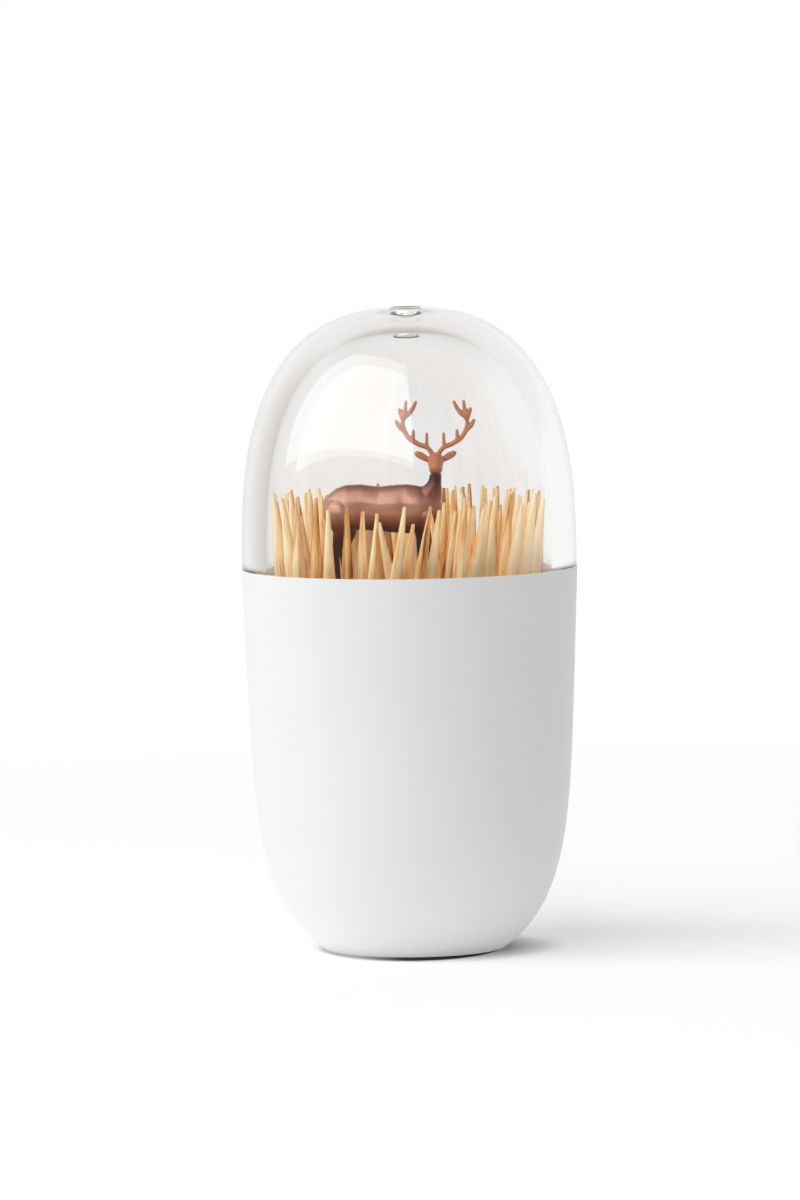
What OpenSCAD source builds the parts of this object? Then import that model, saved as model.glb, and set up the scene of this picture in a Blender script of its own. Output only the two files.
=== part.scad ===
// A toothpick holder shaped like an upright pill: a white cup, a thick clear dome with a
// dispensing hole on top, and a small brown stag that stands on a post among the toothpicks.
// The origin is the centre of the base, +Z is up, and the stag's side faces -Y.

/* [Cup] */
// Outer radius of the cup at its rim
cup_r = 29; // [27:0.5:33]
// Height of the cup's rim above the table
cup_h = 66; // [62:1:72]
// Thickness of the cup's side wall
cup_wall = 2.4; // [2:0.1:3]
// Thickness of the cup's own floor
cup_floor_t = 3; // [2:0.5:4]
// How far above its closing point the cup's curve is cut flat to stand on
base_cut = 4; // [3.5:0.5:6]
// Radius of the shallow recess under the base
recess_r = 12.5; // [8:0.5:13]
// Depth of that recess
recess_t = 0.8; // [0.4:0.1:1.4]

/* [Dome] */
// Height of the dome above the cup's rim
dome_h = 45; // [42:1:52]
// Thickness of the dome's wall
dome_wall = 4.2; // [3.6:0.1:4.6]
// Thickness of the spigot that goes down into the cup
spigot_t = 1.9; // [1.4:0.1:2]
// Length of the spigot
spigot_h = 5; // [3:0.5:8]
// Gap between the spigot and the cup's mouth, on the radius
lid_gap = 0.1; // [0.05:0.05:0.2]
// Bevel on the two edges that meet at the seam
seam_bevel = 0.2; // [0.1:0.05:0.3]
// Radius of the dispensing hole
hole_r = 1.9; // [1.5:0.1:2.4]
// Rounding of the hole's two mouths
hole_round = 0.8; // [0.4:0.1:1]

/* [Floor plate] */
// Height of the plate that the toothpicks stand on
plate_h = 14.5; // [13:0.5:16]
// Thickness of the plate
plate_t = 2; // [1.5:0.1:3]
// Gap between the plate's edge and the cup's wall
plate_gap = 0.15; // [0.1:0.05:0.3]
// Outer radius of the skirt that carries the plate
skirt_r = 15; // [13:0.5:16]
// Thickness of the skirt and of the ribs
skirt_t = 1.5; // [1:0.1:2]
// Number of ribs between the boss and the skirt
rib_count = 6; // [3:1:8]
// Radius of the boss that holds the post
boss_r = 4.6; // [4.2:0.1:5]
// Depth of the post's socket in the boss
socket_h = 8; // [6:0.5:8]

/* [Post] */
// Radius of the post
post_r = 2.2; // [1.8:0.1:2.6]
// Gap between the post and its socket, on the radius
post_gap = 0.04; // [0.02:0.01:0.08]
// Radius of the collar that sits on the floor plate
collar_r = 3.8; // [3.4:0.1:4.2]
// Thickness of the collar
collar_t = 1.2; // [0.8:0.1:2]
// Depth below the cup's rim of the top of the ledge that the stag stands on
ledge_drop = 4.5; // [3:0.5:7]
// Thickness of the ledge
ledge_t = 1.6; // [1.2:0.1:2.4]
// Width of the ledge
ledge_w = 5; // [4.6:0.2:5.6]
// Radius of the four pegs under the hooves
peg_r = 0.4; // [0.3:0.05:0.45]
// Length of those pegs
peg_h = 0.9; // [0.6:0.1:1.1]
// Gap around and under each peg
peg_gap = 0.05; // [0.03:0.01:0.1]

/* [Stag] */
// Length of the stag's body from rump to chest
stag_l = 20.5; // [18:0.5:22]
// Height of its back above its hooves
stag_h = 18.7; // [17:0.1:20]
// Width of its body
stag_w = 5.4; // [5:0.1:6]
// Place of its rump along X
stag_x = -14.7; // [-15.6:0.1:-14.4]
// Height of the joint at the top of the neck above the back
neck_h = 1.9; // [1.5:0.1:3]
// Height of the head above the neck joint
head_h = 3.6; // [3.2:0.1:4]
// Width of the head at the eyes
head_w = 3; // [2.6:0.1:3.4]
// Width across the antlers
antler_w = 14; // [12:0.2:15]
// Height of the antlers above the top of the head
antler_h = 9.2; // [8:0.2:10]
// Thickness of an antler's beam
beam_t = 0.9; // [0.7:0.05:1]
// Length of the ears
ear_l = 2.8; // [2.4:0.1:3.2]

/* [Toothpicks] */
// Length of a toothpick
pick_l = 65; // [60:0.5:67]
// Radius of a toothpick
pick_r = 1; // [0.85:0.05:1.1]
// Length of the taper at each end
taper_l = 11; // [6:0.5:14]
// Radius of the blunt tips
tip_r = 0.3; // [0.2:0.05:0.4]
// How much shorter than the longest the shortest toothpick is
short_l = 3.3; // [0:0.1:3.5]
// Gap between the outermost tips and the dome
lean_gap = 0.3; // [0.1:0.05:0.5]
// Gap between the outermost feet and the cup's wall
foot_gap = 2.2; // [2:0.1:4]
// Least gap between two toothpicks
pick_gap = 0.12; // [0.1:0.01:0.3]
// Distance from one ring of tips to the next
ring_step = 2.5; // [2.2:0.1:3]
// How far a tip strays inwards from its ring
stray_w = 0.6; // [0:0.05:0.8]
// Height of the feet above the plate
foot_lift = 0.06; // [0.04:0.01:0.1]

/* [Hidden] */

// Overrun of every cut
over = 0.5;
// Facets of the drawn curves, of the spheres that shape the stag and of those along its
// antlers, and sides of the rings that its trunk and neck are drawn over
$fn = 96;
ball_fn = 14;
antler_fn = 8;
ring_sides = 24;
// Points along each curved outline, and along each rounding
steps = 44;
round_steps = 12;

// Powers of the two outlines, and how much the cup narrows towards its foot
cup_side_power = 2.25;
cup_depth_power = 6.2;
cup_taper_share = 0.092;
dome_side_power = 2.5;
dome_height_power = 2.8;

// Sizes that follow from the ones above
dome_r = cup_r - lid_gap;
dome_inner_r = dome_r - dome_wall;
dome_inner_h = dome_h - dome_wall;
spigot_r = dome_inner_r + spigot_t;
mouth_r = spigot_r + lid_gap;
mouth_h = spigot_h + lid_gap;
cup_curve_h = cup_h + base_cut;
post_foot_h = plate_h - socket_h;
boss_foot_h = max(post_foot_h - skirt_t, cup_floor_t);
ledge_h = cup_h - ledge_drop;
ledge_end_r = ledge_w / 2;

// Colours
white = [0.93, 0.93, 0.925];
clear = [0.86, 0.9, 0.92, 0.35];
brown = [0.42, 0.22, 0.15];
light_brown = [0.62, 0.33, 0.2];
wood = [0.87, 0.7, 0.45];

// Outlines of the shells.

// The cup's outer radius at height z.
function cup_outer_r(z) =
    let (depth_share = (cup_h - z) / cup_curve_h)
    cup_r * (1 - cup_taper_share * depth_share)
    * pow(1 - pow(depth_share, cup_depth_power), 1 / cup_side_power);

// The cup's inner radius at height z, below its mouth.
function cup_inner_r(z) = cup_outer_r(z) - cup_wall;

// A dome's radius at height z above the rim, for a dome of radius r and height h.
function dome_curve_r(z, r, h) =
    r * pow(1 - pow(z / h, dome_height_power), 1 / dome_side_power);

// The height above the rim at which that dome has radius r.
function dome_curve_z(at_r, r, h) =
    h * pow(1 - pow(at_r / r, dome_side_power), 1 / dome_height_power);

// Heights from low to high, closer together towards the top where the curve turns in.
function dome_levels(h) = [for (i = [0:steps]) h * sin(90 * i / steps)];

// Heights from low to high, closer together towards the bottom.
function cup_levels(low, high) =
    [for (i = [0:steps]) high - (high - low) * sin(90 * (1 - i / steps))];

// An outline's points, from its top down.
function reversed(points) = [for (i = [len(points) - 1:-1:0]) points[i]];

// A quarter round of radius r about centre c, from angle a to angle b.
function arc(c, r, a, b) =
    [for (i = [0:round_steps]) let (turn = a + (b - a) * i / round_steps)
     c + r * [cos(turn), sin(turn)]];

// The shells.

module cup_shell() {
    outer = [for (z = cup_levels(0, cup_h - seam_bevel)) [cup_outer_r(z), z]];
    inner = [for (z = cup_levels(cup_floor_t, cup_h - mouth_h)) [cup_inner_r(z), z]];
    color(white)
    rotate_extrude()
    polygon(concat(
        [[0, recess_t], [recess_r - recess_t, recess_t], [recess_r, 0]],
        outer,
        [[cup_r - seam_bevel, cup_h], [mouth_r, cup_h], [mouth_r, cup_h - mouth_h]],
        reversed(inner),
        [[0, cup_floor_t]]
    ));
}

module dome_lid() {
    hole_edge_r = hole_r + hole_round;
    outer = [for (z = dome_levels(dome_h))
             if (z > seam_bevel && dome_curve_r(z, dome_r, dome_h) > hole_edge_r)
             [dome_curve_r(z, dome_r, dome_h), cup_h + z]];
    inner = [for (z = dome_levels(dome_inner_h))
             if (z > 0 && dome_curve_r(z, dome_inner_r, dome_inner_h) > hole_edge_r)
             [dome_curve_r(z, dome_inner_r, dome_inner_h), cup_h + z]];
    hole_top = [hole_edge_r, cup_h + dome_curve_z(hole_edge_r, dome_r, dome_h) - hole_round];
    hole_foot = [hole_edge_r,
                 cup_h + dome_curve_z(hole_edge_r, dome_inner_r, dome_inner_h) + hole_round];
    color(clear)
    rotate_extrude()
    polygon(concat(
        [[dome_inner_r, cup_h - spigot_h], [spigot_r, cup_h - spigot_h], [spigot_r, cup_h],
         [dome_r - seam_bevel, cup_h], [dome_r, cup_h + seam_bevel]],
        outer,
        arc(hole_top, hole_round, 90, 180),
        arc(hole_foot, hole_round, 180, 270),
        reversed(inner)
    ));
}

// The floor plate and the post.

module floor_plate() {
    plate_foot_h = plate_h - plate_t;
    color(white)
    difference() {
        union() {
            rotate_extrude()
            polygon([
                [0, plate_foot_h],
                [cup_inner_r(plate_foot_h) - plate_gap, plate_foot_h],
                [cup_inner_r(plate_h) - plate_gap, plate_h],
                [0, plate_h]
            ]);
            skirt();
            translate([0, 0, boss_foot_h])
            cylinder(h = plate_h - boss_foot_h, r = boss_r);
            for (i = [0:rib_count - 1])
            rotate(360 * i / rib_count)
            translate([boss_r - over, -skirt_t / 2, boss_foot_h])
            cube([skirt_r - boss_r - skirt_t + 2 * over, skirt_t,
                  plate_foot_h - boss_foot_h + over]);
        }
        translate([0, 0, post_foot_h])
        cylinder(h = socket_h + over, r = post_r + post_gap);
    }
}

// The ring that stands on the cup's floor and carries the plate.
module skirt() {
    translate([0, 0, cup_floor_t])
    difference() {
        cylinder(h = plate_h - cup_floor_t - over, r = skirt_r);
        translate([0, 0, -over])
        cylinder(h = plate_h - cup_floor_t + over, r = skirt_r - skirt_t);
    }
}

module stag_post() {
    color(brown)
    difference() {
        union() {
            translate([0, 0, post_foot_h])
            cylinder(h = ledge_h - ledge_t / 2 - post_foot_h, r = post_r);
            translate([0, 0, plate_h])
            cylinder(h = collar_t, r = collar_r);
            translate([0, 0, ledge_h - ledge_t])
            ledge();
        }
        for (hoof = hooves)
        translate([hoof.x, hoof.y, ledge_h - peg_h - peg_gap])
        cylinder(h = peg_h + peg_gap + over, r = peg_r + peg_gap);
    }
}

// The oval ledge under the stag's hooves.
module ledge() {
    low = stag_x + ledge_end_r;
    high = stag_x + stag_l - ledge_end_r;
    translate([low, -ledge_end_r, 0])
    cube([high - low, ledge_w, ledge_t]);
    for (x = [low, high])
    translate([x, 0, 0])
    cylinder(h = ledge_t, r = ledge_end_r);
}

// The stag.

// Places on the stag are shares: along its length from rump to chest, across half of its
// width, and up its height from its hooves to its back.
function stag_point(along, across, up) =
    [stag_x + along * stag_l, across * stag_w / 2, ledge_h + up * stag_h];

// Cross-sections of the trunk: along, top, bottom and half width.
trunk_shares = [
    [0.00, 0.82, 0.72, 0.20], [0.02, 0.885, 0.66, 0.46], [0.055, 0.935, 0.62, 0.72],
    [0.11, 0.98, 0.60, 0.90], [0.19, 1.010, 0.595, 1.00], [0.32, 1.015, 0.59, 1.00],
    [0.46, 0.993, 0.58, 0.97], [0.58, 1.003, 0.565, 0.98], [0.70, 1.012, 0.555, 0.98],
    [0.80, 0.995, 0.56, 0.92], [0.89, 0.955, 0.60, 0.80], [0.95, 0.91, 0.66, 0.60],
    [0.985, 0.86, 0.72, 0.38], [1.00, 0.82, 0.76, 0.16]
];

// Cross-sections of the neck from its root up: along, up, half length and half width.
neck_shares = [
    [0.80, 0.76, 0.170, 0.74], [0.865, 0.90, 0.135, 0.66], [0.908, 0.97, 0.092, 0.56],
    [0.922, 0.995, 0.074, 0.51], [0.936, 1.022, 0.060, 0.46], [0.944, 1.055, 0.053, 0.42]
];
neck_top_shares = [0.949, 0.05, 0.40];

// Joints of the legs from the trunk down: along, across, up and radius, the radius as a
// share of half the stag's width.
fore_leg_shares = [
    [0.86, 0.45, 0.72, 0.50], [0.87, 0.47, 0.50, 0.30], [0.865, 0.47, 0.33, 0.20],
    [0.88, 0.47, 0.08, 0.15], [0.89, 0.47, 0.00, 0.21]
];
hind_leg_shares = [
    [0.125, 0.30, 0.76, 0.94], [0.155, 0.44, 0.60, 0.56], [0.10, 0.47, 0.37, 0.24],
    [0.125, 0.47, 0.08, 0.15], [0.14, 0.47, 0.00, 0.21]
];
// The far legs stand a little behind the near ones.
far_step_share = 0.055;
tail_shares = [[0.035, 0.90, 0.17], [0.018, 0.84, 0.16], [0.022, 0.76, 0.08]];

// The four hooves' places on the ledge, near legs first.
function leg_shares(leg, far) = [for (j = leg)
    [j[0] + (far ? -far_step_share : 0), far ? j[1] : -j[1], j[2], j[3]]];
legs = [leg_shares(fore_leg_shares, false), leg_shares(hind_leg_shares, false),
        leg_shares(fore_leg_shares, true), leg_shares([for (j = hind_leg_shares)
            [j[0] + 2 * far_step_share, j[1], j[2], j[3]]], true)];
hooves = [for (leg = legs) let (hoof = leg[len(leg) - 1]) stag_point(hoof[0], hoof[1], 0)];

// The neck joint, where the head piece plugs in.
neck_joint = [stag_x + neck_top_shares[0] * stag_l, 0, ledge_h + stag_h + neck_h];
neck_peg_r = neck_top_shares[1] * stag_l / 2;

// A closed skin over rings that all have the same number of points, in order.
module skin(rings) {
    n = len(rings[0]);
    last = len(rings) - 1;
    polyhedron(
        points = [for (ring = rings) each ring],
        faces = concat(
            [for (k = [0:last - 1], i = [0:n - 1])
             [k * n + i, (k + 1) * n + i, k * n + (i + 1) % n]],
            [for (k = [0:last - 1], i = [0:n - 1])
             [(k + 1) * n + i, (k + 1) * n + (i + 1) % n, k * n + (i + 1) % n]],
            [for (i = [1:n - 2]) [0, i, i + 1]],
            [for (i = [1:n - 2]) [last * n, last * n + i + 1, last * n + i]]
        )
    );
}

// An upright ellipse across the trunk, at one of its cross-sections.
function trunk_ring(s) =
    let (centre = stag_point(s[0], 0, (s[1] + s[2]) / 2))
    [for (i = [0:ring_sides - 1]) let (a = 360 * i / ring_sides)
     centre + [0, cos(a) * s[3] * stag_w / 2, sin(a) * (s[1] - s[2]) / 2 * stag_h]];

// A level ellipse across the neck. Its half length and half width are given in millimetres.
function neck_ring(centre, half_l, half_w) =
    [for (i = [0:ring_sides - 1]) let (a = 360 * i / ring_sides)
     centre + [cos(a) * half_l, sin(a) * half_w, 0]];

// A limb through points with a radius at each.
module limb(points, radii, fn = ball_fn) {
    for (i = [0:len(points) - 2])
    hull() {
        translate(points[i]) sphere(r = radii[i], $fn = fn);
        translate(points[i + 1]) sphere(r = radii[i + 1], $fn = fn);
    }
}

module leg(shares) {
    points = [for (s = shares) stag_point(s[0], s[1], s[2])];
    radii = [for (s = shares) s[3] * stag_w / 2];
    hoof = points[len(points) - 1];
    hoof_r = radii[len(radii) - 1];
    limb([for (i = [0:len(points) - 2]) points[i]], radii);
    hull() {
        translate(points[len(points) - 2]) sphere(r = radii[len(radii) - 2], $fn = ball_fn);
        translate(hoof) cylinder(h = hoof_r, r = hoof_r, $fn = ball_fn);
    }
    translate(hoof - [0, 0, peg_h])
    cylinder(h = peg_h + hoof_r, r = peg_r, $fn = ball_fn);
}

module stag_body() {
    color(brown)
    difference() {
        union() {
            skin([for (s = trunk_shares) trunk_ring(s)]);
            skin(concat(
                [for (s = neck_shares)
                 neck_ring(stag_point(s[0], 0, s[1]), s[2] * stag_l, s[3] * stag_w / 2)],
                [neck_ring(neck_joint, neck_top_shares[1] * stag_l,
                           neck_top_shares[2] * stag_w / 2)]
            ));
            for (shares = legs) leg(shares);
            limb([for (s = tail_shares) stag_point(s[0], 0, s[1])],
                 [for (s = tail_shares) s[2] * stag_w / 2]);
        }
        translate(neck_joint - [0, 0, peg_h + peg_gap])
        cylinder(h = peg_h + peg_gap + over, r = neck_peg_r + peg_gap, $fn = 2 * ball_fn);
    }
}

// Places on the head are shares: across half of its width from its middle, forwards from
// the neck joint in head heights, and up from the joint in head heights.
function head_point(across, forward, up) =
    neck_joint + [across * head_w / 2, -forward * head_h, up * head_h];

// Skull and muzzle from the poll to the nose: forward, up and radius in half head widths.
skull_shares = [[-0.12, 0.68, 0.80], [0.16, 0.64, 0.97], [0.45, 0.46, 0.84], [0.72, 0.30, 0.74]];
chin_shares = [[0.0, 0.24, 0.78], [0.58, 0.15, 0.62]];

// Antler: beam and tines, each point as a share of half the span from the head's middle,
// of the antlers' height above the top of the head, and of the beam's thickness.
beam_shares = [
    [0.07, -0.03, 0.95], [0.134, 0.05, 0.95], [0.225, 0.12, 1.05], [0.372, 0.152, 0.95],
    [0.50, 0.207, 1.00], [0.63, 0.272, 1.05], [0.71, 0.35, 0.95], [0.775, 0.45, 0.98],
    [0.797, 0.57, 0.80], [0.785, 0.64, 0.95], [0.777, 0.71, 1.70]
];
tine_shares = [
    [[0.213, 0.13, 0.85], [0.21, 0.22, 0.72], [0.207, 0.36, 0.62]],
    [[0.57, 0.24, 1.15], [0.543, 0.31, 0.80], [0.536, 0.415, 0.62]],
    [[0.77, 0.43, 1.10], [0.88, 0.50, 1.00], [0.955, 0.60, 0.72]],
    [[0.79, 0.72, 1.40], [0.845, 0.76, 1.00], [0.873, 0.82, 0.72]],
    [[0.765, 0.74, 1.30], [0.725, 0.84, 0.80], [0.71, 0.967, 0.64]],
    [[0.75, 0.70, 1.40], [0.64, 0.74, 1.00], [0.535, 0.85, 0.85], [0.47, 0.957, 0.66]]
];
antler_root_share = 0.02;

module antler_limb(shares, side) {
    limb([for (s = shares) head_point(0, antler_root_share, 1)
          + [side * s[0] * antler_w / 2, 0, s[1] * antler_h]],
         [for (s = shares) s[2] * beam_t / 2], antler_fn);
}

// One leaf-shaped ear, from its root inside the head: outwards, up and radius in ear lengths.
ear_shares = [[0.00, 0.00, 0.15], [0.27, 0.16, 0.20], [0.50, 0.30, 0.225], [0.68, 0.39, 0.20],
              [0.80, 0.44, 0.13]];
ear_root_shares = [0.72, 0.0, 0.64];

module ear(side) {
    root = head_point(side * ear_root_shares[0], ear_root_shares[1], ear_root_shares[2]);
    limb([for (s = ear_shares) root + ear_l * [side * s[0], 0, s[1]]],
         [for (s = ear_shares) s[2] * ear_l]);
}

module stag_head() {
    color(light_brown)
    union() {
        intersection() {
            union() {
                limb([for (s = skull_shares) head_point(0, s[0], s[1])],
                     [for (s = skull_shares) s[2] * head_w / 2]);
                limb([for (s = chin_shares) head_point(0, s[0], s[1])],
                     [for (s = chin_shares) s[2] * head_w / 2]);
            }
            translate(neck_joint - [head_h, 2 * head_h, 0])
            cube([2 * head_h, 4 * head_h, 2 * head_h]);
        }
        for (side = [-1, 1]) {
            scale_ear_depth() ear(side);
            antler_limb(beam_shares, side);
            for (tine = tine_shares) antler_limb(tine, side);
        }
        translate(neck_joint - [0, 0, peg_h])
        cylinder(h = peg_h + head_h / 2, r = neck_peg_r, $fn = 2 * ball_fn);
    }
}

// Flattens the ears front to back.
ear_depth_share = 0.55;
module scale_ear_depth() {
    translate(neck_joint)
    scale([1, ear_depth_share, 1])
    translate(-neck_joint)
    children();
}

// The toothpicks.

// The longest pick's height above the rim, and the radius of the outermost ring of tips.
pick_rise = plate_h + pick_l - cup_h;
top_ring_r = dome_curve_r(pick_rise, dome_inner_r, dome_inner_h) - tip_r - lean_gap;
// Radius of the outermost feet.
foot_ring_r = cup_inner_r(plate_h) - foot_gap - tip_r;

// A pick from its foot and the end of its line, both seen from above, and its length.
function pick_of(foot, tip, length) =
    [[foot.x, foot.y, plate_h + foot_lift], [tip.x, tip.y, plate_h + foot_lift + pick_l], length];

// The place of a pick's middle line at a share of the way up, and its radius there.
function line_at(pick, share) = (1 - share) * pick[0] + share * pick[1];
function pick_r_at(share) =
    tip_r + (pick_r - tip_r) * max(0, min(1, min(share, 1 - share) * pick_l / taper_l));

// The oval round the stag and its ledge that the picks keep out of, and the clearing in front
// of it that their tips keep out of, each as [centre, half length, half width].
stag_gap = 1.2;
keep_out = [[stag_x + stag_l / 2, 0], stag_l / 2 + pick_r + stag_gap,
            max(stag_w, ledge_w) / 2 + pick_r + stag_gap];
clearing_shares = [[-0.20, -0.40], 0.36, 0.35];
clearing = cup_r * clearing_shares;

function outside(p, oval) =
    pow((p.x - oval[0].x) / oval[1], 2) + pow((p.y - oval[0].y) / oval[2], 2) > 1;

// Is this place clear of the round-ended ledge?
function outside_ledge(p) =
    norm([max(0, abs(p.x - keep_out[0].x) - stag_l / 2 + ledge_end_r), p.y])
    > ledge_end_r + pick_r + pick_gap;

// The square-cornered room beside the post that is left for more picks, as [centre, half
// length, half width], and the heights at which the others are held clear of it and the post.
room_shares = [[-0.25, -0.097], 0.109, 0.214];
room = cup_r * room_shares;
room_test_shares = [0:0.08:0.72];
post_room_r = collar_r + pick_r + pick_gap;

function outside_room(p) =
    norm([p.x, p.y]) > post_room_r
    && (abs(p.x - room[0].x) > room[1] + pick_r + pick_gap
        || abs(p.y - room[0].y) > room[2] + pick_r + pick_gap);

// The one toothpick in the clearing, which can be drawn up by itself. It leans the other way.
loose_foot_shares = [0.20, -0.20];
loose_tip_shares = [-0.20, -0.50];
loose_pick = pick_of(cup_r * loose_foot_shares, cup_r * loose_tip_shares, pick_l - short_l);
// Least gap between it and the others.
loose_gap = 0.4;

// Are two picks clear of each other? Both lines are straight, so they come nearest at one
// height, or where their ends are thin. A leaning pick is a little wider seen from above.
lean_allowance_share = 1.03;
taper_share = taper_l / pick_l;
test_shares = concat([for (share = [0:1 / 3:1]) share * taper_share],
                     [for (share = [0:1 / 4:1]) 1 - share * taper_share]);
function apart(a, b, gap, b_is_loose = false) =
    let (
        low = [b[0].x - a[0].x, b[0].y - a[0].y],
        high = [b[1].x - a[1].x, b[1].y - a[1].y],
        way = high - low,
        near = way * way > 0 ? max(0, min(1, -(low * way) / (way * way))) : 0
    )
    norm(low + near * way) > lean_allowance_share * 2 * pick_r + gap
    || min([for (share = concat([near], test_shares))
            norm(low + share * way) - lean_allowance_share
            * (pick_r_at(share) + (b_is_loose ? pick_r : pick_r_at(share)))]) > gap;

// Does this pick miss the loose one, the post and the room beside it, the stag from its ledge
// up, and the clearing at its tip?
ledge_share = (ledge_h - ledge_t - plate_h) / pick_l;
function stands(pick) =
    outside(pick[1], clearing)
    && min([for (share = room_test_shares) outside_room(line_at(pick, share)) ? 1 : 0]) == 1
    && min([for (share = [ledge_share, (1 + ledge_share) / 2, 1])
            let (p = line_at(pick, share)) outside(p, keep_out) && outside_ledge(p) ? 1 : 0]) == 1
    && apart(pick, loose_pick, loose_gap, true);

// The front row, those that show most first: the tip's place along X as a share of the cup's
// radius, its lean to the right in degrees, and how much shorter it is as a share.
front_shares = [
    [-0.17, 4, 0.6], [-0.255, 0.5, 0.4], [-0.345, 0.5, 0.45], [-0.45, 0, 0.5],
    [-0.015, 7.5, 0.2], [0.05, 9, 1.0], [0.13, 8.5, 0.15], [0.18, 7, 0.1],
    [-0.63, -8, 1.0], [-0.70, -5, 0.1], [0.435, 10, 0.4], [0.64, 8, 0.45],
    [0.275, 8.5, 0.5], [0.355, 9, 0.2], [0.54, 9, 0.3], [-0.82, -9, 0.6],
    [-0.745, -3, 0.3], [0.105, -10, 0.0], [0.46, 8, 0.1], [0.49, 5, 0.0],
    [0.70, 6, 0.0], [0.76, 5, 0.3], [0.82, 4, 0.2], [-0.50, -3, 0.1],
    [-0.39, -1, 0.4], [0.22, 6, 0.0], [0.58, 4, 0.0], [0.32, 5, 0.3]
];
front_depth_shares = [0, 0.3, 0.6, 0.9, 1.2, 1.5];
foot_r_shares = [0.84, 0.92, 0.76, 1.0, 0.68, 0.6, 0.52, 0.44];
// Turns of the lean, in degrees, that are tried where a pick finds no place as it is.
lean_turns = [0, 1, -1, 2, -2, 3, -3];

// All the ways in which one pick of the front row could stand, the best first.
function front_wishes(s) = [
    for (turn = lean_turns, depth = front_depth_shares, foot_share = foot_r_shares)
    let (
        tip_x = s[0] * cup_r,
        tip_r_here = top_ring_r - depth * 2 * pick_r,
        foot_x = tip_x - pick_l * tan(s[1] + turn),
        foot_r_here = foot_ring_r * foot_share
    )
    if (tip_r_here > abs(tip_x) && foot_r_here > abs(foot_x))
    pick_of([foot_x, -sqrt(pow(foot_r_here, 2) - pow(foot_x, 2))],
            [tip_x, -sqrt(pow(tip_r_here, 2) - pow(tip_x, 2))], pick_l - short_l * s[2])
];

// The rest: rings of places for tips from the wall inwards, and ways to stand at each, drawn
// by chance from fixed seeds. Each ring turns its feet against its tips by its own degrees.
ring_turns = [16, 8, 18, 2, 12, 6, 14];
tries = 14;
ring_seeds = 100;
short_power = 3;
crowding_share = 1.3;
place_stray_share = 0.33;
foot_in_shares = [0.66, 0.24];
function ring_tip_r(k) = top_ring_r - k * ring_step;
function ring_count(k) = floor(2 * PI * ring_tip_r(k) / ring_step * crowding_share);
function ring_wishes(k, i) = [
    for (n = [0:tries - 1])
    let (
        chance = rands(0, 1, 5, tries * (ring_seeds * k + i) + n),
        tip_a = (i + place_stray_share * chance[0]) * 360 / ring_count(k),
        foot_a = tip_a - ring_turns[k] * (1 / 2 + chance[1]),
        foot_in_share = foot_in_shares[0] + foot_in_shares[1] * chance[2],
        foot_r_here = min(foot_ring_r, ring_tip_r(k) * foot_in_share)
    )
    pick_of(foot_r_here * [cos(foot_a), sin(foot_a)],
            (ring_tip_r(k) - stray_w * chance[3]) * [cos(tip_a), sin(tip_a)],
            pick_l - short_l * pow(chance[4], short_power))
];

// Is this pick clear of all those?
function clear_of(pick, others, n = 0) =
    n == len(others) || (apart(pick, others[n], pick_gap) && clear_of(pick, others, n + 1));

// The first of these ways to stand that is clear of all those picks, in a list, or no way.
function first_way(ways, others, n = 0) =
    n == len(ways) ? []
    : stands(ways[n]) && clear_of(ways[n], others) ? [ways[n]]
    : first_way(ways, others, n + 1);

// Stands up one wish after another, each in its first clear way.
function grown(kept, wishes, n = 0) =
    n == len(wishes) ? kept : grown(concat(kept, first_way(wishes[n], kept)), wishes, n + 1);

front_picks = grown([], [for (s = front_shares) front_wishes(s)]);
all_picks = grown(front_picks, [for (k = [0:len(ring_turns) - 1], i = [0:ring_count(k) - 1])
                                ring_wishes(k, i)]);

// Which ring a pick is drawn with, by how far its tip is from the middle.
last_ring = 4;
function ring_of(pick) =
    min(last_ring, floor((top_ring_r - norm([pick[1].x, pick[1].y])) / (ring_step + stray_w)));

// A toothpick standing on the origin.
module toothpick(length) {
    rotate_extrude()
    polygon([[0, 0], [tip_r, 0], [pick_r, taper_l], [pick_r, length - taper_l],
             [tip_r, length], [0, length]]);
}

// A toothpick that leans from its foot towards the end of its line.
module leaning(pick) {
    line = pick[1] - pick[0];
    color(wood)
    translate(pick[0])
    rotate([0, acos(line.z / norm(line)), atan2(line.y, line.x)])
    toothpick(pick[2]);
}

module toothpicks_ring(k) {
    for (pick = all_picks) if (ring_of(pick) == k) leaning(pick);
}

module loose_toothpick() {
    leaning(loose_pick);
}

cup_shell();
floor_plate();
stag_post();
stag_body();
stag_head();
dome_lid();
toothpicks_ring(0);  // toothpicks_ring_1
toothpicks_ring(1);  // toothpicks_ring_2
toothpicks_ring(2);  // toothpicks_ring_3
toothpicks_ring(3);  // toothpicks_ring_4
toothpicks_ring(4);  // toothpicks_ring_5
loose_toothpick();
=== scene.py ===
# %% [markdown]
# # A toothpick holder, from its frame to its looks
#
# The object is an upright pill as tall as a hand is wide: a white cup below, a thick clear
# dome above, and inside it a little brown stag that stands in a meadow of toothpicks. The
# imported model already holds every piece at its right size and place. This lesson loads it,
# keeps it as the frame, and gives each piece its real surface.

import math

import bmesh
import bpy
import numpy as np
from mathutils import Matrix, Vector


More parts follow.
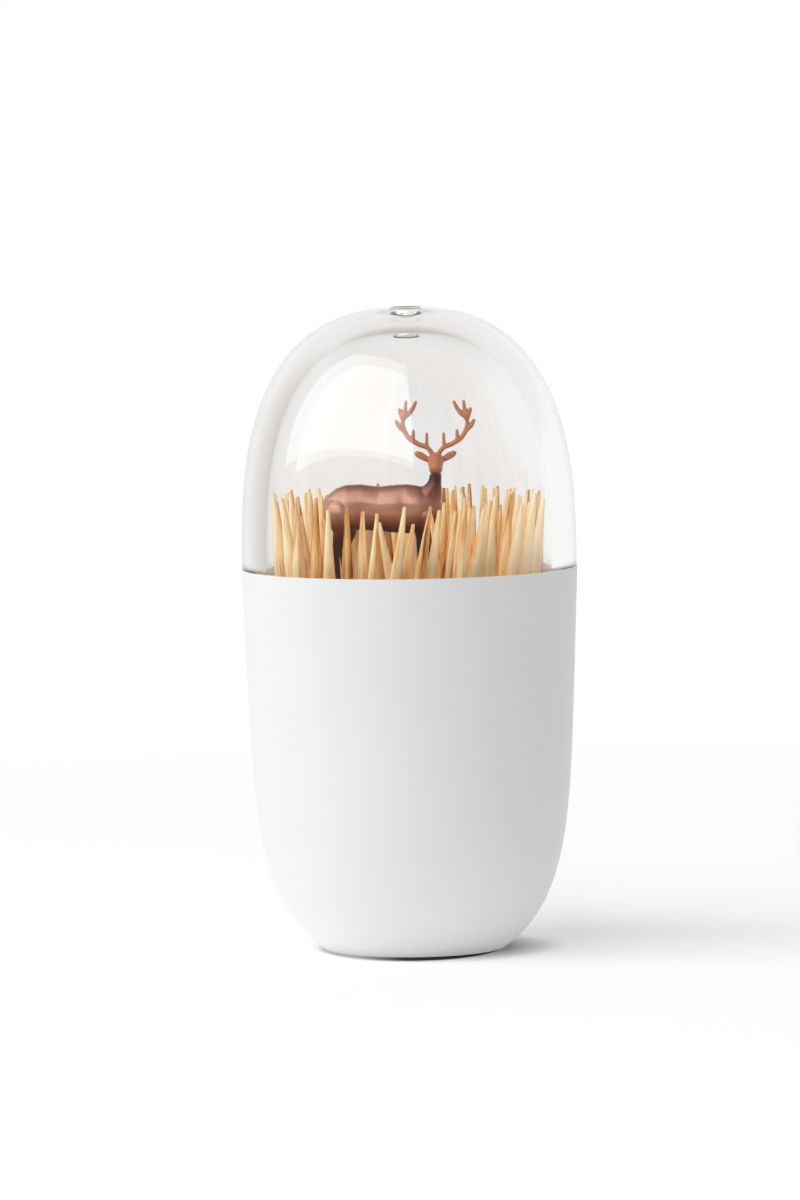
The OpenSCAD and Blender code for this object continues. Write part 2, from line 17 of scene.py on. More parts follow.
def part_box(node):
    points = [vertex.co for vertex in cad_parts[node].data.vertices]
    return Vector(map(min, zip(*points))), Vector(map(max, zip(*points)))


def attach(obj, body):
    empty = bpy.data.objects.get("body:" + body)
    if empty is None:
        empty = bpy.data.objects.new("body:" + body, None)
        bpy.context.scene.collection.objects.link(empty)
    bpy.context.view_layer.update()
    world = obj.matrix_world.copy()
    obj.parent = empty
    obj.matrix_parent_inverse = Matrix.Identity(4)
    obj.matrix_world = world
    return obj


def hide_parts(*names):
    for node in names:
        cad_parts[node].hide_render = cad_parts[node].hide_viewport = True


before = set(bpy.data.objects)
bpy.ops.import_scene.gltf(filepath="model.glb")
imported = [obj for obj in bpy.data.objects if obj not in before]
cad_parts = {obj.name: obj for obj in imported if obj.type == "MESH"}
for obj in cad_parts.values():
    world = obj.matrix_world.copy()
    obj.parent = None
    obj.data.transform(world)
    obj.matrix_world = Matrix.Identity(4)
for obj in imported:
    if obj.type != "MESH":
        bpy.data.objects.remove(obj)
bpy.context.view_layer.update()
MM = 0.001

# %% [markdown]
# ## The sizes that the looks share
#
# The frame says how high each node reaches, so those heights are read from it. The outlines
# of the cup and the dome are curves, and a mesh only holds points of them. Their sizes and
# their formula are written again here, because the finished shells need many more points
# than the frame has.

# %% Heights read from the frame, and the sizes of the two shells
dome_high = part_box("dome_lid")[1]
plate_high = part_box("floor_plate")[1]
head_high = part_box("stag_head")[1]

CUP_R = 29 * MM
CUP_H = 66 * MM
CUP_WALL = 2.4 * MM
CUP_FLOOR = 3 * MM
CUP_CURVE_H = 70 * MM
CUP_TAPER_SHARE = 0.092
CUP_DEPTH_POWER = 6.2
CUP_SIDE_POWER = 2.25
DOME_R = 28.9 * MM
DOME_H = 45 * MM
DOME_WALL = 4.2 * MM
DOME_SIDE_POWER = 2.5
DOME_HEIGHT_POWER = 2.8
SPIGOT_R = 26.6 * MM
SPIGOT_H = 5 * MM
MOUTH_R = 26.7 * MM
MOUTH_H = 5.1 * MM
HOLE_R = 1.9 * MM
HOLE_ROUND = 0.8 * MM
RECESS_R = 12.5 * MM
RECESS_T = 0.8 * MM
print("the frame's dome ends at %.2f mm" % (dome_high.z / MM))


# %% The two outlines
def cup_outer_r(z):
    """The cup's outer radius at height z."""
    depth = (CUP_H - z) / CUP_CURVE_H
    side = (1 - depth**CUP_DEPTH_POWER) ** (1 / CUP_SIDE_POWER)
    return CUP_R * (1 - CUP_TAPER_SHARE * depth) * side


def cup_inner_r(z):
    """The cup's inner radius at height z."""
    return cup_outer_r(z) - CUP_WALL


def dome_curve_r(z, r, h):
    """The radius of a dome of radius r and height h, at height z above the rim."""
    return r * max(0.0, 1 - (z / h) ** DOME_HEIGHT_POWER) ** (1 / DOME_SIDE_POWER)


def dome_curve_z(at_r, r, h):
    """The height above the rim at which that dome has radius at_r."""
    return h * max(0.0, 1 - (at_r / r) ** DOME_SIDE_POWER) ** (1 / DOME_HEIGHT_POWER)


edge_r = HOLE_R + HOLE_ROUND
outline_top = CUP_H + dome_curve_z(edge_r, DOME_R, DOME_H)
print("cup: %.2f mm at the rim," % (cup_outer_r(CUP_H) / MM), "%.2f at the foot" % (cup_outer_r(0) / MM))
print("the outline's dome ends at %.2f mm" % (outline_top / MM))

# %% [markdown]
# ## The camera
#
# The photograph was taken from a metre and a half away, from a little above the rim, with a
# long lens, so upright lines hardly converge. It is also turned by less than a degree, which
# makes the holder lean to the left. The same turn is set here about the camera's own line of
# sight, after it has been aimed.


# %% Placing and aiming
def in_scene(name, data):
    """A new object for a mesh, a camera or a lamp, linked into the scene."""
    made = bpy.data.objects.new(name, data)
    bpy.context.scene.collection.objects.link(made)
    return made


def aimed(way, roll):
    """The turn of a camera or a lamp that looks along way, rolled about that line."""
    upright = way.to_track_quat("-Z", "Y").to_matrix()
    return (upright @ Matrix.Rotation(roll, 3, "Z")).to_euler()


# %% Camera
CAMERA_AIM = Vector((-1.7, 0, 60.3)) * MM
CAMERA_DISTANCE = 1.5
CAMERA_ELEVATION = math.radians(4.4)
CAMERA_ROLL = math.radians(-0.78)
CAMERA_LENS = 260.5
CAMERA_SENSOR = 36

camera_data = bpy.data.cameras.new("camera")
camera_data.lens = CAMERA_LENS
camera_data.sensor_width = CAMERA_SENSOR
camera = in_scene("camera", camera_data)
camera_way = Vector((0, -math.cos(CAMERA_ELEVATION), math.sin(CAMERA_ELEVATION)))
camera.location = CAMERA_AIM + CAMERA_DISTANCE * camera_way
camera.rotation_euler = aimed(CAMERA_AIM - camera.location, CAMERA_ROLL)
bpy.context.scene.camera = camera
bpy.context.scene.view_settings.view_transform = "Standard"
print("camera height %.0f mm" % (camera.location.z / MM))

# %% [markdown]
# ## Small helpers for node trees
#
# Every finish here is a tree of nodes. Making a node, setting its values and linking it are
# the same three lines each time, so they become helpers that keep the cells short. The first
# makes any node, and the others make the few kinds that every finish needs. A value with
# four numbers, here and in later cells, is what remap takes: the span that it reads, and
# what it gives at the start and at the end of that span.


# %% Node helpers
def add(tree, kind, links=(), **values):
    """A new node. Values are set on its properties or inputs, and links go into its inputs."""
    node = tree.nodes.new(kind)
    for name, value in values.items():
        if hasattr(node, name):
            setattr(node, name, value)
        else:
            node.inputs[name].default_value = value
    for name, source in dict(links).items():
        tree.links.new(source, node.inputs[name])
    return node


def calc(tree, operation, a, b=None):
    """A Math node. Each operand is a number or a socket."""
    node = add(tree, "ShaderNodeMath", operation=operation)
    for slot, value in enumerate((a, b)):
        if isinstance(value, (int, float)):
            node.inputs[slot].default_value = value
        elif value is not None:
            tree.links.new(value, node.inputs[slot])
    return node.outputs[0]


def mixed(tree, share, a, b):
    """The value a where the share is 0, and b where it is 1."""
    first = calc(tree, "MULTIPLY", calc(tree, "SUBTRACT", 1, share), a)
    return calc(tree, "ADD", first, calc(tree, "MULTIPLY", share, b))


def remap(tree, value, from_low, from_high, to_low, to_high):
    """A value moved from one span to another, and held inside it."""
    spans = {"From Min": from_low, "From Max": from_high, "To Min": to_low, "To Max": to_high}
    return add(tree, "ShaderNodeMapRange", links={"Value": value}, **spans).outputs[0]


def axes(tree, vector):
    """The sockets X, Y and Z of a vector."""
    return add(tree, "ShaderNodeSeparateXYZ", links={0: vector}).outputs


def length_of(tree, vector):
    """The length of a vector."""
    return add(tree, "ShaderNodeVectorMath", operation="LENGTH", links={0: vector}).outputs["Value"]


def stretched(tree, vector, factors):
    """A vector with each of its three parts multiplied by its own factor."""
    node = add(tree, "ShaderNodeVectorMath", operation="MULTIPLY", links={0: vector})
    node.inputs[1].default_value = factors
    return node.outputs[0]


def noise(tree, coordinates, scale, detail=2.0, roughness=0.5):
    """A noise pattern, from 0 to 1."""
    values = {"Scale": scale, "Detail": detail, "Roughness": roughness}
    return add(tree, "ShaderNodeTexNoise", links={"Vector": coordinates}, **values).outputs["Fac"]


def ramp(tree, factor, stops):
    """A colour ramp with stops of (position, colour)."""
    node = add(tree, "ShaderNodeValToRGB", links={0: factor})
    while len(node.color_ramp.elements) < len(stops):
        node.color_ramp.elements.new(1)
    for element, (position, colour) in zip(node.color_ramp.elements, stops):
        element.position = position
        element.color = (*colour, 1)
    return node.outputs[0]


def greys(stops):
    """Stops of (position, level) turned into grey stops for a ramp."""
    return [(position, (level, level, level)) for position, level in stops]


# %% [markdown]
# A material starts as a Principled shader with a few plain values. Its colour, its gloss and
# its fine relief are then linked from the nodes above, and it can give way to a second
# shader for some rays. A noise pattern seldom leaves the middle of its span, so gloss and
# colour are spread over that middle part.


# %% Material helpers
NOISE_SPAN = (0.3, 0.7)
WHITE = (1, 1, 1)


def new_material(name, values):
    """A material whose Principled shader has these values: the material, its tree, the shader."""
    material = bpy.data.materials.new(name)
    material.use_nodes = True
    shader = material.node_tree.nodes["Principled BSDF"]
    for label, value in values.items():
        shader.inputs[label].default_value = value
    return material, material.node_tree, shader


def object_place(tree):
    """The place of each point in its piece, which is its place in the frame."""
    return tree.nodes.new("ShaderNodeTexCoord").outputs["Object"]


def gloss(tree, shader, pattern, smoothest, dullest):
    """A roughness that drifts between two values with a noise pattern."""
    drift = remap(tree, pattern, *NOISE_SPAN, smoothest, dullest)
    tree.links.new(drift, shader.inputs["Roughness"])


def bump(tree, shader, pattern, height, strength):
    """A relief on the shader's normal, as high in metres where the pattern is 1."""
    values = {"Distance": height, "Strength": strength}
    node = add(tree, "ShaderNodeBump", links={"Height": pattern}, **values)
    tree.links.new(node.outputs[0], shader.inputs["Normal"])


def show_both(tree, share, first, second):
    """The material shows the first shader where the share is 0, and the second where it is 1."""
    links = {0: share, 1: first.outputs[0], 2: second.outputs[0]}
    blend = add(tree, "ShaderNodeMixShader", links=links)
    tree.links.new(blend.outputs[0], tree.nodes["Material Output"].inputs["Surface"])


def refinish(node, finish):
    """Gives a finish to a node that keeps its frame mesh."""
    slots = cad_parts[node].data.materials
    slots.clear()
    slots.append(finish)
    print(node, "keeps its frame mesh")


# %% [markdown]
# ## Light, background and floor
#
# A product photograph on white has one large soft lamp on the left, a bright backdrop behind
# the object and a darker room in front of it, and a background that is pure white. More
# light would make the background white too, but it would burn out the white cup. Light Path
# tells a camera ray from a ray that lights the object, so the background can be white to the
# camera and nearly white through the glass, while the object gets only the plain light that
# it needs.

# %% World, and what lights the object
ROOM_LIGHT = 0.095
BACKDROP_LIGHT = 0.84
BACKDROP_EDGE = (-0.3, 0.6)

world = bpy.data.worlds.new("studio")
bpy.context.scene.world = world
world.use_nodes = True
tree = world.node_tree
path = tree.nodes.new("ShaderNodeLightPath").outputs
way = axes(tree, tree.nodes.new("ShaderNodeTexCoord").outputs["Generated"])
lights = remap(tree, way["Y"], *BACKDROP_EDGE, ROOM_LIGHT, BACKDROP_LIGHT)
print("world: %.2f in front, %.2f behind, 1 for the camera" % (ROOM_LIGHT, BACKDROP_LIGHT))

# %% [markdown]
# What a mirror shows is the studio itself. The dome's thick wall is such a mirror near its
# outline, where the view glances off its inside face. It finds the backdrop there, which is
# a little dimmer on the left and above, and that draws the wall in pale grey on the white.
# To rays inside the glass the room in front is darkest at eye level, so no white haze lies
# over the stag, and rays that were mirrored twice find a lighter room.

# %% What a mirror shows
MIRROR_EDGE = (-0.5, 0.1)
MIRROR_BOUNCES = (1, 2)
DEEP_MIRROR = 0.8
ROOM_LEVEL = 0.06
ROOM_BAND = (0.12, 0.28, 0.25, 0.8)
MIRROR_LEFT = (-0.75, -0.2, 0.64, 0.96)
MIRROR_ABOVE = [(0.05, 1.0), (0.2, 0.88), (0.6, 0.85), (0.78, 0.5)]

depth = path["Glossy Depth"]
from_level = calc(tree, "ABSOLUTE", calc(tree, "SUBTRACT", way["Z"], ROOM_LEVEL))
in_glass = calc(tree, "MINIMUM", path["Transmission Depth"], 1)
inside = calc(tree, "MULTIPLY", remap(tree, from_level, *ROOM_BAND), in_glass)
deep = remap(tree, depth, *MIRROR_BOUNCES, 0, DEEP_MIRROR)
backdrop = remap(tree, way["Y"], *MIRROR_EDGE, 0, 1)
bright = calc(tree, "MAXIMUM", backdrop, calc(tree, "MAXIMUM", inside, deep))
above = ramp(tree, way["Z"], greys(MIRROR_ABOVE))
dimmed = calc(tree, "MINIMUM", above, remap(tree, way["X"], *MIRROR_LEFT))
mirrored = calc(tree, "MINIMUM", mixed(tree, bright, ROOM_LIGHT, 1), dimmed)
print("mirrored at the left: %.2f" % MIRROR_LEFT[2])

# %% [markdown]
# What the glass lets through is the backdrop, a little dimmer behind on the left and above.
# In a mirror the dim parts of the studio are also a little warm, as the pale wall of the
# dome is in the photograph.

# %% What glass shows, and the whole background
GLASS_LEFT = (-0.75, -0.2, 0.78, 0.9)
GLASS_FRONT = (0.3, 0.6, 0.9, 0)
GLASS_ABOVE = (0.1, 0.7, 0.9, 0.76)
ONE_BOUNCE = 0.5
WARM = (1, 0.952, 0.905)
WARM_LEVELS = (0.6, 0.92)

through = remap(tree, way["X"], *GLASS_LEFT)
through = calc(tree, "MAXIMUM", through, remap(tree, way["Y"], *GLASS_FRONT))
through = calc(tree, "MINIMUM", through, remap(tree, way["Z"], *GLASS_ABOVE))
shown = mixed(tree, calc(tree, "GREATER_THAN", depth, ONE_BOUNCE), through, mirrored)
object_ray = calc(tree, "MAXIMUM", path["Is Glossy Ray"], path["Is Transmission Ray"])
plain = calc(tree, "MAXIMUM", lights, path["Is Camera Ray"])
mirror_ray = calc(tree, "MINIMUM", object_ray, depth)
warmth = calc(tree, "MULTIPLY", mirror_ray, remap(tree, shown, *WARM_LEVELS, 1, 0))
background = tree.nodes["Background"].inputs
tree.links.new(ramp(tree, warmth, [(0, WHITE), (1, WARM)]), background["Color"])
tree.links.new(mixed(tree, object_ray, plain, shown), background["Strength"])
print("world: %d nodes" % len(tree.nodes))

# %% Softbox
LAMP_RADIANCE = 2.13
LAMP_SIZE = (3.4, 4.4)
LAMP_DISTANCE = 1.3
LAMP_AZIMUTH = math.radians(-40)
LAMP_SHIFT = -0.54
LAMP_HEIGHT = 2.72
LAMP_ROLL = math.radians(3)

lamp_data = bpy.data.lights.new("softbox", "AREA")
lamp_data.shape = "RECTANGLE"
lamp_data.size, lamp_data.size_y = LAMP_SIZE
lamp_data.energy = LAMP_RADIANCE * math.pi * LAMP_SIZE[0] * LAMP_SIZE[1]
lamp = in_scene("softbox", lamp_data)
lamp_way = Vector((math.sin(LAMP_AZIMUTH), -math.cos(LAMP_AZIMUTH), 0))
lamp_side = Vector((math.cos(LAMP_AZIMUTH), math.sin(LAMP_AZIMUTH), 0))
lamp_rise = Vector((0, 0, LAMP_HEIGHT))
lamp.location = LAMP_DISTANCE * lamp_way + LAMP_SHIFT * lamp_side + lamp_rise
lamp.rotation_euler = aimed(-lamp_way, LAMP_ROLL)
print("softbox at", [round(v, 2) for v in lamp.location], "with %.1f W" % lamp_data.energy)

# %% [markdown]
# The floor only has to catch the shadow. Close to the object it is a plain pale surface with
# a little light of its own, so that it comes out just white where no shadow falls. Further
# away it turns into the white of the background, so no horizon shows. Two shadows are
# painted into the floor's colour and glow to keep the contact under the foot crisp. One is a
# painted shadow on the side away from the softbox. The other is a thin painted dark line all
# round the foot, wider to the front and the back. Only rays that see the floor find them, so
# the light that the floor throws up at the cup stays as it is.

# %% Floor's finish
SHADOW_R = (0.2, 0.4)
FLOOR_VALUES = {"Emission Color": (*WHITE, 1), "Roughness": 0.9, "Specular IOR Level": 0}
FLOOR_GLOW_LIGHTING = 0.22
FLOOR_GLOW_SEEN = 0.16
# The floor's white, then the tones of the painted shadow under the foot.
FLOOR_AND_SHADOW_TONES = [(0, 0.95), (0.9, 0.473), (1, 0.04)]
# A painted shadow beside the foot, on the side away from the softbox.
PAINTED_SHADOW_R = (0.0165, 0.026)
PAINTED_SHADOW_SIDE = (-0.006, 0.012, 0.15, 0.9)
# A thin painted dark line round the foot, a painted shadow wider to the front and back.
SHADOW_LINE_DEPTH = 0.74
SHADOW_LINE_R = (0.0150, 0.0172)
SHADOW_LINE_SIDE = (-0.012, -0.002, 0.88, 1)

floor_white, tree, shader = new_material("floor_white", FLOOR_VALUES)
path = tree.nodes.new("ShaderNodeLightPath").outputs
object_ray = calc(tree, "MAXIMUM", path["Is Glossy Ray"], path["Is Transmission Ray"])
seen = calc(tree, "MAXIMUM", path["Is Camera Ray"], object_ray)
place = object_place(tree)
across = axes(tree, place)["X"]
away = length_of(tree, place)
# The painted shadows darken the floor's colour and its glow, for rays that see the floor.
near = remap(tree, away, *PAINTED_SHADOW_R, 1, 0)
painted_shadow = calc(tree, "MULTIPLY", remap(tree, across, *PAINTED_SHADOW_SIDE), near)
shadow_line_away = length_of(tree, stretched(tree, place, (1, SHADOW_LINE_DEPTH, 1)))
line = remap(tree, shadow_line_away, *SHADOW_LINE_R, 1, 0)
line = calc(tree, "MULTIPLY", remap(tree, across, *SHADOW_LINE_SIDE), line)
painted_shadow = calc(tree, "MAXIMUM", painted_shadow, line)
tone = ramp(tree, calc(tree, "MULTIPLY", painted_shadow, seen), greys(FLOOR_AND_SHADOW_TONES))
tree.links.new(tone, shader.inputs["Base Color"])
shaded = calc(tree, "MULTIPLY", FLOOR_GLOW_SEEN, calc(tree, "SUBTRACT", 1, painted_shadow))
glow = mixed(tree, seen, FLOOR_GLOW_LIGHTING, shaded)
tree.links.new(glow, shader.inputs["Emission Strength"])
far = calc(tree, "MULTIPLY", remap(tree, away, *SHADOW_R, 0, 1), seen)
show_both(tree, far, shader, add(tree, "ShaderNodeEmission", Color=(*WHITE, 1), Strength=1.0))
print("floor keeps the shadow up to %.0f mm" % (SHADOW_R[0] / MM))

# %% Floor
FLOOR_R = 0.7
FLOOR_SIDES = 96

floor_mesh = bpy.data.meshes.new("floor")
bm = bmesh.new()
bmesh.ops.create_circle(bm, cap_ends=True, radius=FLOOR_R, segments=FLOOR_SIDES)
bm.to_mesh(floor_mesh)
bm.free()
floor_mesh.materials.append(floor_white)
floor = in_scene("floor", floor_mesh)
print("floor: a disc of %.1f m" % FLOOR_R)

# %% [markdown]
# ## One turning tree for both shells
#
# The cup and the dome are both turned shapes: one outline goes round an upright axis. They
# could be spun in mesh code, or drawn as a subdivision surface, but a Geometry Nodes lathe
# does both from one tree. It takes an outline as a row of points, with the radius along X
# and the height along Z, and lays a grid round the axis with one column for each step.


# %% Geometry tree helpers
def geometry_tree(name, inputs):
    """An empty Geometry Nodes tree with these inputs: the tree, its input and output nodes."""
    tree = bpy.data.node_groups.new(name, "GeometryNodeTree")
    tree.interface.new_socket("Geometry", in_out="INPUT", socket_type="NodeSocketGeometry")
    tree.interface.new_socket("Geometry", in_out="OUTPUT", socket_type="NodeSocketGeometry")
    for label, kind in inputs:
        tree.interface.new_socket(label, in_out="INPUT", socket_type=kind)
    return tree, tree.nodes.new("NodeGroupInput"), tree.nodes.new("NodeGroupOutput")


def then(tree, kind, geometry, links=(), **values):
    """The geometry after one more step, which is a Geometry Nodes node of that kind."""
    links = {"Geometry": geometry, **dict(links)}
    return add(tree, "GeometryNode" + kind, links=links, **values).outputs[0]


def end_tree(tree, geometry, given, out):
    """Ends a tree: instances are made real, and the finish goes on."""
    real = then(tree, "RealizeInstances", geometry)
    painted = then(tree, "SetMaterial", real, {"Material": given.outputs["Finish"]})
    tree.links.new(painted, out.inputs[0])


def made_plain(name, source):
    """A new object with the plain mesh that the source's modifiers make. The source goes."""
    bpy.context.view_layer.update()
    evaluated = source.evaluated_get(bpy.context.evaluated_depsgraph_get())
    result = bpy.data.meshes.new_from_object(evaluated)
    bpy.data.objects.remove(source)
    result.name = name
    print("%s: %d faces" % (name, len(result.polygons)))
    return in_scene(name, result)


def made_by_nodes(name, mesh, tree, values):
    """The plain mesh that a tree makes from a mesh, in a new object."""
    source = in_scene(name + "_source", mesh)
    modifier = source.modifiers.new("nodes", "NODES")
    modifier.node_group = tree
    for socket in tree.interface.items_tree:
        if socket.in_out == "INPUT" and socket.name in values:
            modifier[socket.identifier] = values[socket.name]
    source.update_tag()
    return made_plain(name, source)


# %% The lathe tree
SEAM_GAP = 1e-6


def lathe_tree():
    """Turns a row of points round Z."""
    inputs = [("Steps round", "NodeSocketInt"), ("Finish", "NodeSocketMaterial")]
    tree, given, out = geometry_tree("lathe", inputs)
    outline, steps = given.outputs["Geometry"], given.outputs["Steps round"]
    size = add(tree, "GeometryNodeAttributeDomainSize", links={"Geometry": outline})
    count = size.outputs["Point Count"]
    columns = calc(tree, "ADD", steps, 1)
    grid = add(tree, "GeometryNodeMeshGrid", links={"Vertices X": columns, "Vertices Y": count})
    index = tree.nodes.new("GeometryNodeInputIndex").outputs[0]
    row = calc(tree, "MODULO", index, count)
    column = calc(tree, "FLOOR", calc(tree, "DIVIDE", index, count))
    here = tree.nodes.new("GeometryNodeInputPosition").outputs[0]
    links = {"Value": here, "Index": row}
    point = axes(tree, then(tree, "SampleIndex", outline, links, data_type="FLOAT_VECTOR"))
    turn = calc(tree, "MULTIPLY", calc(tree, "DIVIDE", column, steps), 2 * math.pi)
    x = calc(tree, "MULTIPLY", point["X"], calc(tree, "COSINE", turn))
    y = calc(tree, "MULTIPLY", point["X"], calc(tree, "SINE", turn))
    goal = add(tree, "ShaderNodeCombineXYZ", links={0: x, 1: y, 2: point["Z"]})
    placed = then(tree, "SetPosition", grid.outputs["Mesh"], {"Position": goal.outputs[0]})
    closed = then(tree, "MergeByDistance", placed, Distance=SEAM_GAP)
    end_tree(tree, then(tree, "SetShadeSmooth", closed), given, out)
    return tree


LATHE = lathe_tree()
print("lathe: %d nodes" % len(LATHE.nodes))

# %% [markdown]
# An outline is a list of corners, each with the radius of its rounding. Real mouldings have
# no knife edges: each corner catches a thin line of light. The next helper rounds them, and
# adds points beside each rounding, so that smooth shading stays where the rounding is.


# %% Rounded outlines
def rounded(corners, steps=6, longest=0.9 * MM, guard=0.12 * MM, most=0.45):
    """Points along (radius, height, rounding) corners, with long stretches divided.

    A rounding takes at most the share most of the sides that meet in its corner.
    """
    places = [np.array(corner[:2], float) for corner in corners]
    points = [places[0]]
    for k in range(1, len(corners) - 1):
        corner, size = places[k], corners[k][2]
        if not size:
            points.append(corner)
            continue
        back, ahead = places[k - 1] - corner, places[k + 1] - corner
        back_l, ahead_l = np.linalg.norm(back), np.linalg.norm(ahead)
        back_way, ahead_way = back / back_l, ahead / ahead_l
        half = math.acos(max(-1, min(1, float(back_way @ ahead_way)))) / 2
        cut = min(size / math.tan(half), most * back_l, most * ahead_l)
        inwards = (back_way + ahead_way) / np.linalg.norm(back_way + ahead_way)
        middle = corner + inwards * cut / math.cos(half)
        start, end = corner + back_way * cut - middle, corner + ahead_way * cut - middle
        points.append(corner + back_way * (cut + guard))
        for i in range(steps + 1):
            between = start * (1 - i / steps) + end * (i / steps)
            points.append(middle + between / np.linalg.norm(between) * np.linalg.norm(start))
        points.append(corner + ahead_way * (cut + guard))
    points.append(places[-1])
    divided = [points[0]]
    for a, b in zip(points, points[1:]):
        pieces = max(1, math.ceil(np.linalg.norm(b - a) / longest))
        divided += [a + (b - a) * i / pieces for i in range(1, pieces + 1)]
    return divided


def volume(mesh):
    """The volume inside a closed mesh, which is negative if it is inside out."""
    bm = bmesh.new()
    bm.from_mesh(mesh)
    found = bm.calc_volume(signed=True)
    bm.free()
    return found


def turned(name, corners, columns, finish):
    """A closed shell turned from an outline of corners, with its faces outwards."""
    points = rounded(corners)
    outline = bpy.data.meshes.new(name + "_outline")
    rows = [(i, i + 1) for i in range(len(points) - 1)]
    outline.from_pydata([(r, 0, z) for r, z in points], rows, [])
    made = made_by_nodes(name, outline, LATHE, {"Steps round": columns, "Finish": finish})
    if volume(made.data) < 0:
        made.data.flip_normals()
    print("%s holds %.2f cm3" % (name, volume(made.data) * 1e6))
    return made


# %% [markdown]
# ## The cup
#
# The cup is moulded in a hard white plastic with a satin skin. It could be one flat white,
# but a real moulding is never quite even: its gloss drifts a little, and its skin has a very
# fine grain that softens reflections. Both are noise patterns, one wide and one fine. The
# floor plate inside is the same plastic with a duller skin, so one function makes both.


# %% White plastic
def white_plastic(name, drift, whites, roughness, grain, relief, ior):
    """A white that drifts with a wide noise between two tones and two values of roughness.

    Drift and grain are what noise takes, and relief is the grain's height and strength.
    """
    material, tree, shader = new_material(name, {"IOR": ior})
    place = object_place(tree)
    wide = noise(tree, place, *drift)
    tone = ramp(tree, wide, list(zip(NOISE_SPAN, whites)))
    tree.links.new(tone, shader.inputs["Base Color"])
    gloss(tree, shader, wide, *roughness)
    bump(tree, shader, noise(tree, place, *grain), *relief)
    print("%s: %d nodes" % (name, len(tree.nodes)))
    return material


satin_white = white_plastic(
    "satin_white",
    drift=(55, 3),
    whites=((0.83, 0.829, 0.826), (0.85, 0.849, 0.846)),
    roughness=(0.4, 0.48),
    grain=(5200, 2, 0.6),
    relief=(0.006 * MM, 0.35),
    ior=1.48,
)

# %% [markdown]
# The cup's outline goes from the middle of its base outwards, up its side, over the rim and
# down into it. Its side bends most near the foot, so its points are spread as the steps of a
# quarter turn are: close together below and wider apart above. The rim ends a trace low,
# because two faces in exactly one place would flicker where the dome rests on it.

# %% Cup
CUP_COLUMNS = 224
LIP_DROP = 0.005 * MM
SIDE_STEPS = 70
SIDE_MARGIN = 1.1 * MM
INSIDE_STEPS = 60
MOUTH_MARGIN = 0.4 * MM
FLOOR_MARGIN = 1.2 * MM
FOOT_ROUND = 0.3 * MM
RECESS_ROUND = 0.4 * MM
RIM_ROUND = 0.06 * MM
MOUTH_ROUND = 0.1 * MM
INSIDE_ROUND = 0.5 * MM


def quarter_turns(steps):
    """The angles of even steps through a quarter turn."""
    return [math.pi / 2 * i / steps for i in range(steps + 1)]


rim = CUP_H - LIP_DROP
ledge = CUP_H - MOUTH_H
inside_high, inside_low = ledge - MOUTH_MARGIN, CUP_FLOOR + FLOOR_MARGIN
side_span, inside_span = rim - 2 * SIDE_MARGIN, inside_high - inside_low
side_levels = [SIDE_MARGIN + side_span * (1 - math.cos(a)) for a in quarter_turns(SIDE_STEPS)]
inside_levels = [inside_high - inside_span * math.sin(a) for a in quarter_turns(INSIDE_STEPS)]
cup_corners = [
    (0, RECESS_T, 0),
    (RECESS_R - RECESS_T, RECESS_T, FOOT_ROUND),
    (RECESS_R, 0, RECESS_ROUND),
    (cup_outer_r(0), 0, FOOT_ROUND),
    *[(cup_outer_r(z), z, 0) for z in side_levels],
    (cup_outer_r(rim), rim, RIM_ROUND),
    (MOUTH_R, rim, RIM_ROUND),
    (MOUTH_R, ledge, MOUTH_ROUND),
    (cup_inner_r(ledge), ledge, MOUTH_ROUND),
    *[(cup_inner_r(z), z, 0) for z in inside_levels],
    (cup_inner_r(CUP_FLOOR), CUP_FLOOR, INSIDE_ROUND),
    (0, CUP_FLOOR, 0),
]
cup = turned("cup_moulding", cup_corners, CUP_COLUMNS, satin_white)
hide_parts("cup_shell")
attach(cup, "cup")

# %% [markdown]
# ## The dome
#
# The dome is cast in clear acrylic more than four millimetres thick, and its look comes from
# that thickness: the wall bends what is behind it, and near the outline it mirrors the room
# instead. So it is a closed shell with an inside and an outside face, and the shader only
# has to know how strongly acrylic bends light. A few smears dull it here and there, and the
# face is a little wavy. Glass throws a dark shadow in a path tracer, because lamps can't be
# found through it. For rays that carry light to a surface, the shader is swapped for a
# plain see-through one.

# %% Clear acrylic
ACRYLIC_IOR = 1.49
ACRYLIC_TINT = (0.995, 0.995, 0.993, 1)
LIGHT_TINT = (0.995, 0.995, 0.995, 1)
SMEARS = (120, 4, 0.6)
SMEAR_GLOSS = (0.45, 0.8, 0.0, 0.02)
WAVES = (90, 1)
WAVE_RELIEF = (0.012 * MM, 0.25)

acrylic_values = {"Base Color": ACRYLIC_TINT, "Transmission Weight": 1, "IOR": ACRYLIC_IOR}
clear_acrylic, tree, shader = new_material("clear_acrylic", acrylic_values)
place = object_place(tree)
smear = remap(tree, noise(tree, place, *SMEARS), *SMEAR_GLOSS)
tree.links.new(smear, shader.inputs["Roughness"])
bump(tree, shader, noise(tree, place, *WAVES), *WAVE_RELIEF)
path = tree.nodes.new("ShaderNodeLightPath").outputs
lit = calc(tree, "MAXIMUM", path["Is Shadow Ray"], path["Is Diffuse Ray"])
show_both(tree, lit, shader, add(tree, "ShaderNodeBsdfTransparent", Color=LIGHT_TINT))
print("acrylic bends light by", ACRYLIC_IOR)

# %% Dome's outline
DOME_STEPS = 84
ROUND_STEPS = 10
OUTSIDE_LOW = 0.7 * MM
INSIDE_LOW = 0.3 * MM
EDGE_SPARE = 1.03


def quarter(centre_r, centre_z, r, start, end):
    """Points on a quarter round between two angles in degrees, with no rounding of their own."""
    angles = [start + (end - start) * i / ROUND_STEPS for i in range(ROUND_STEPS + 1)]
    turns = [math.radians(angle) for angle in angles]
    return [(centre_r + r * math.cos(a), centre_z + r * math.sin(a), 0) for a in turns]


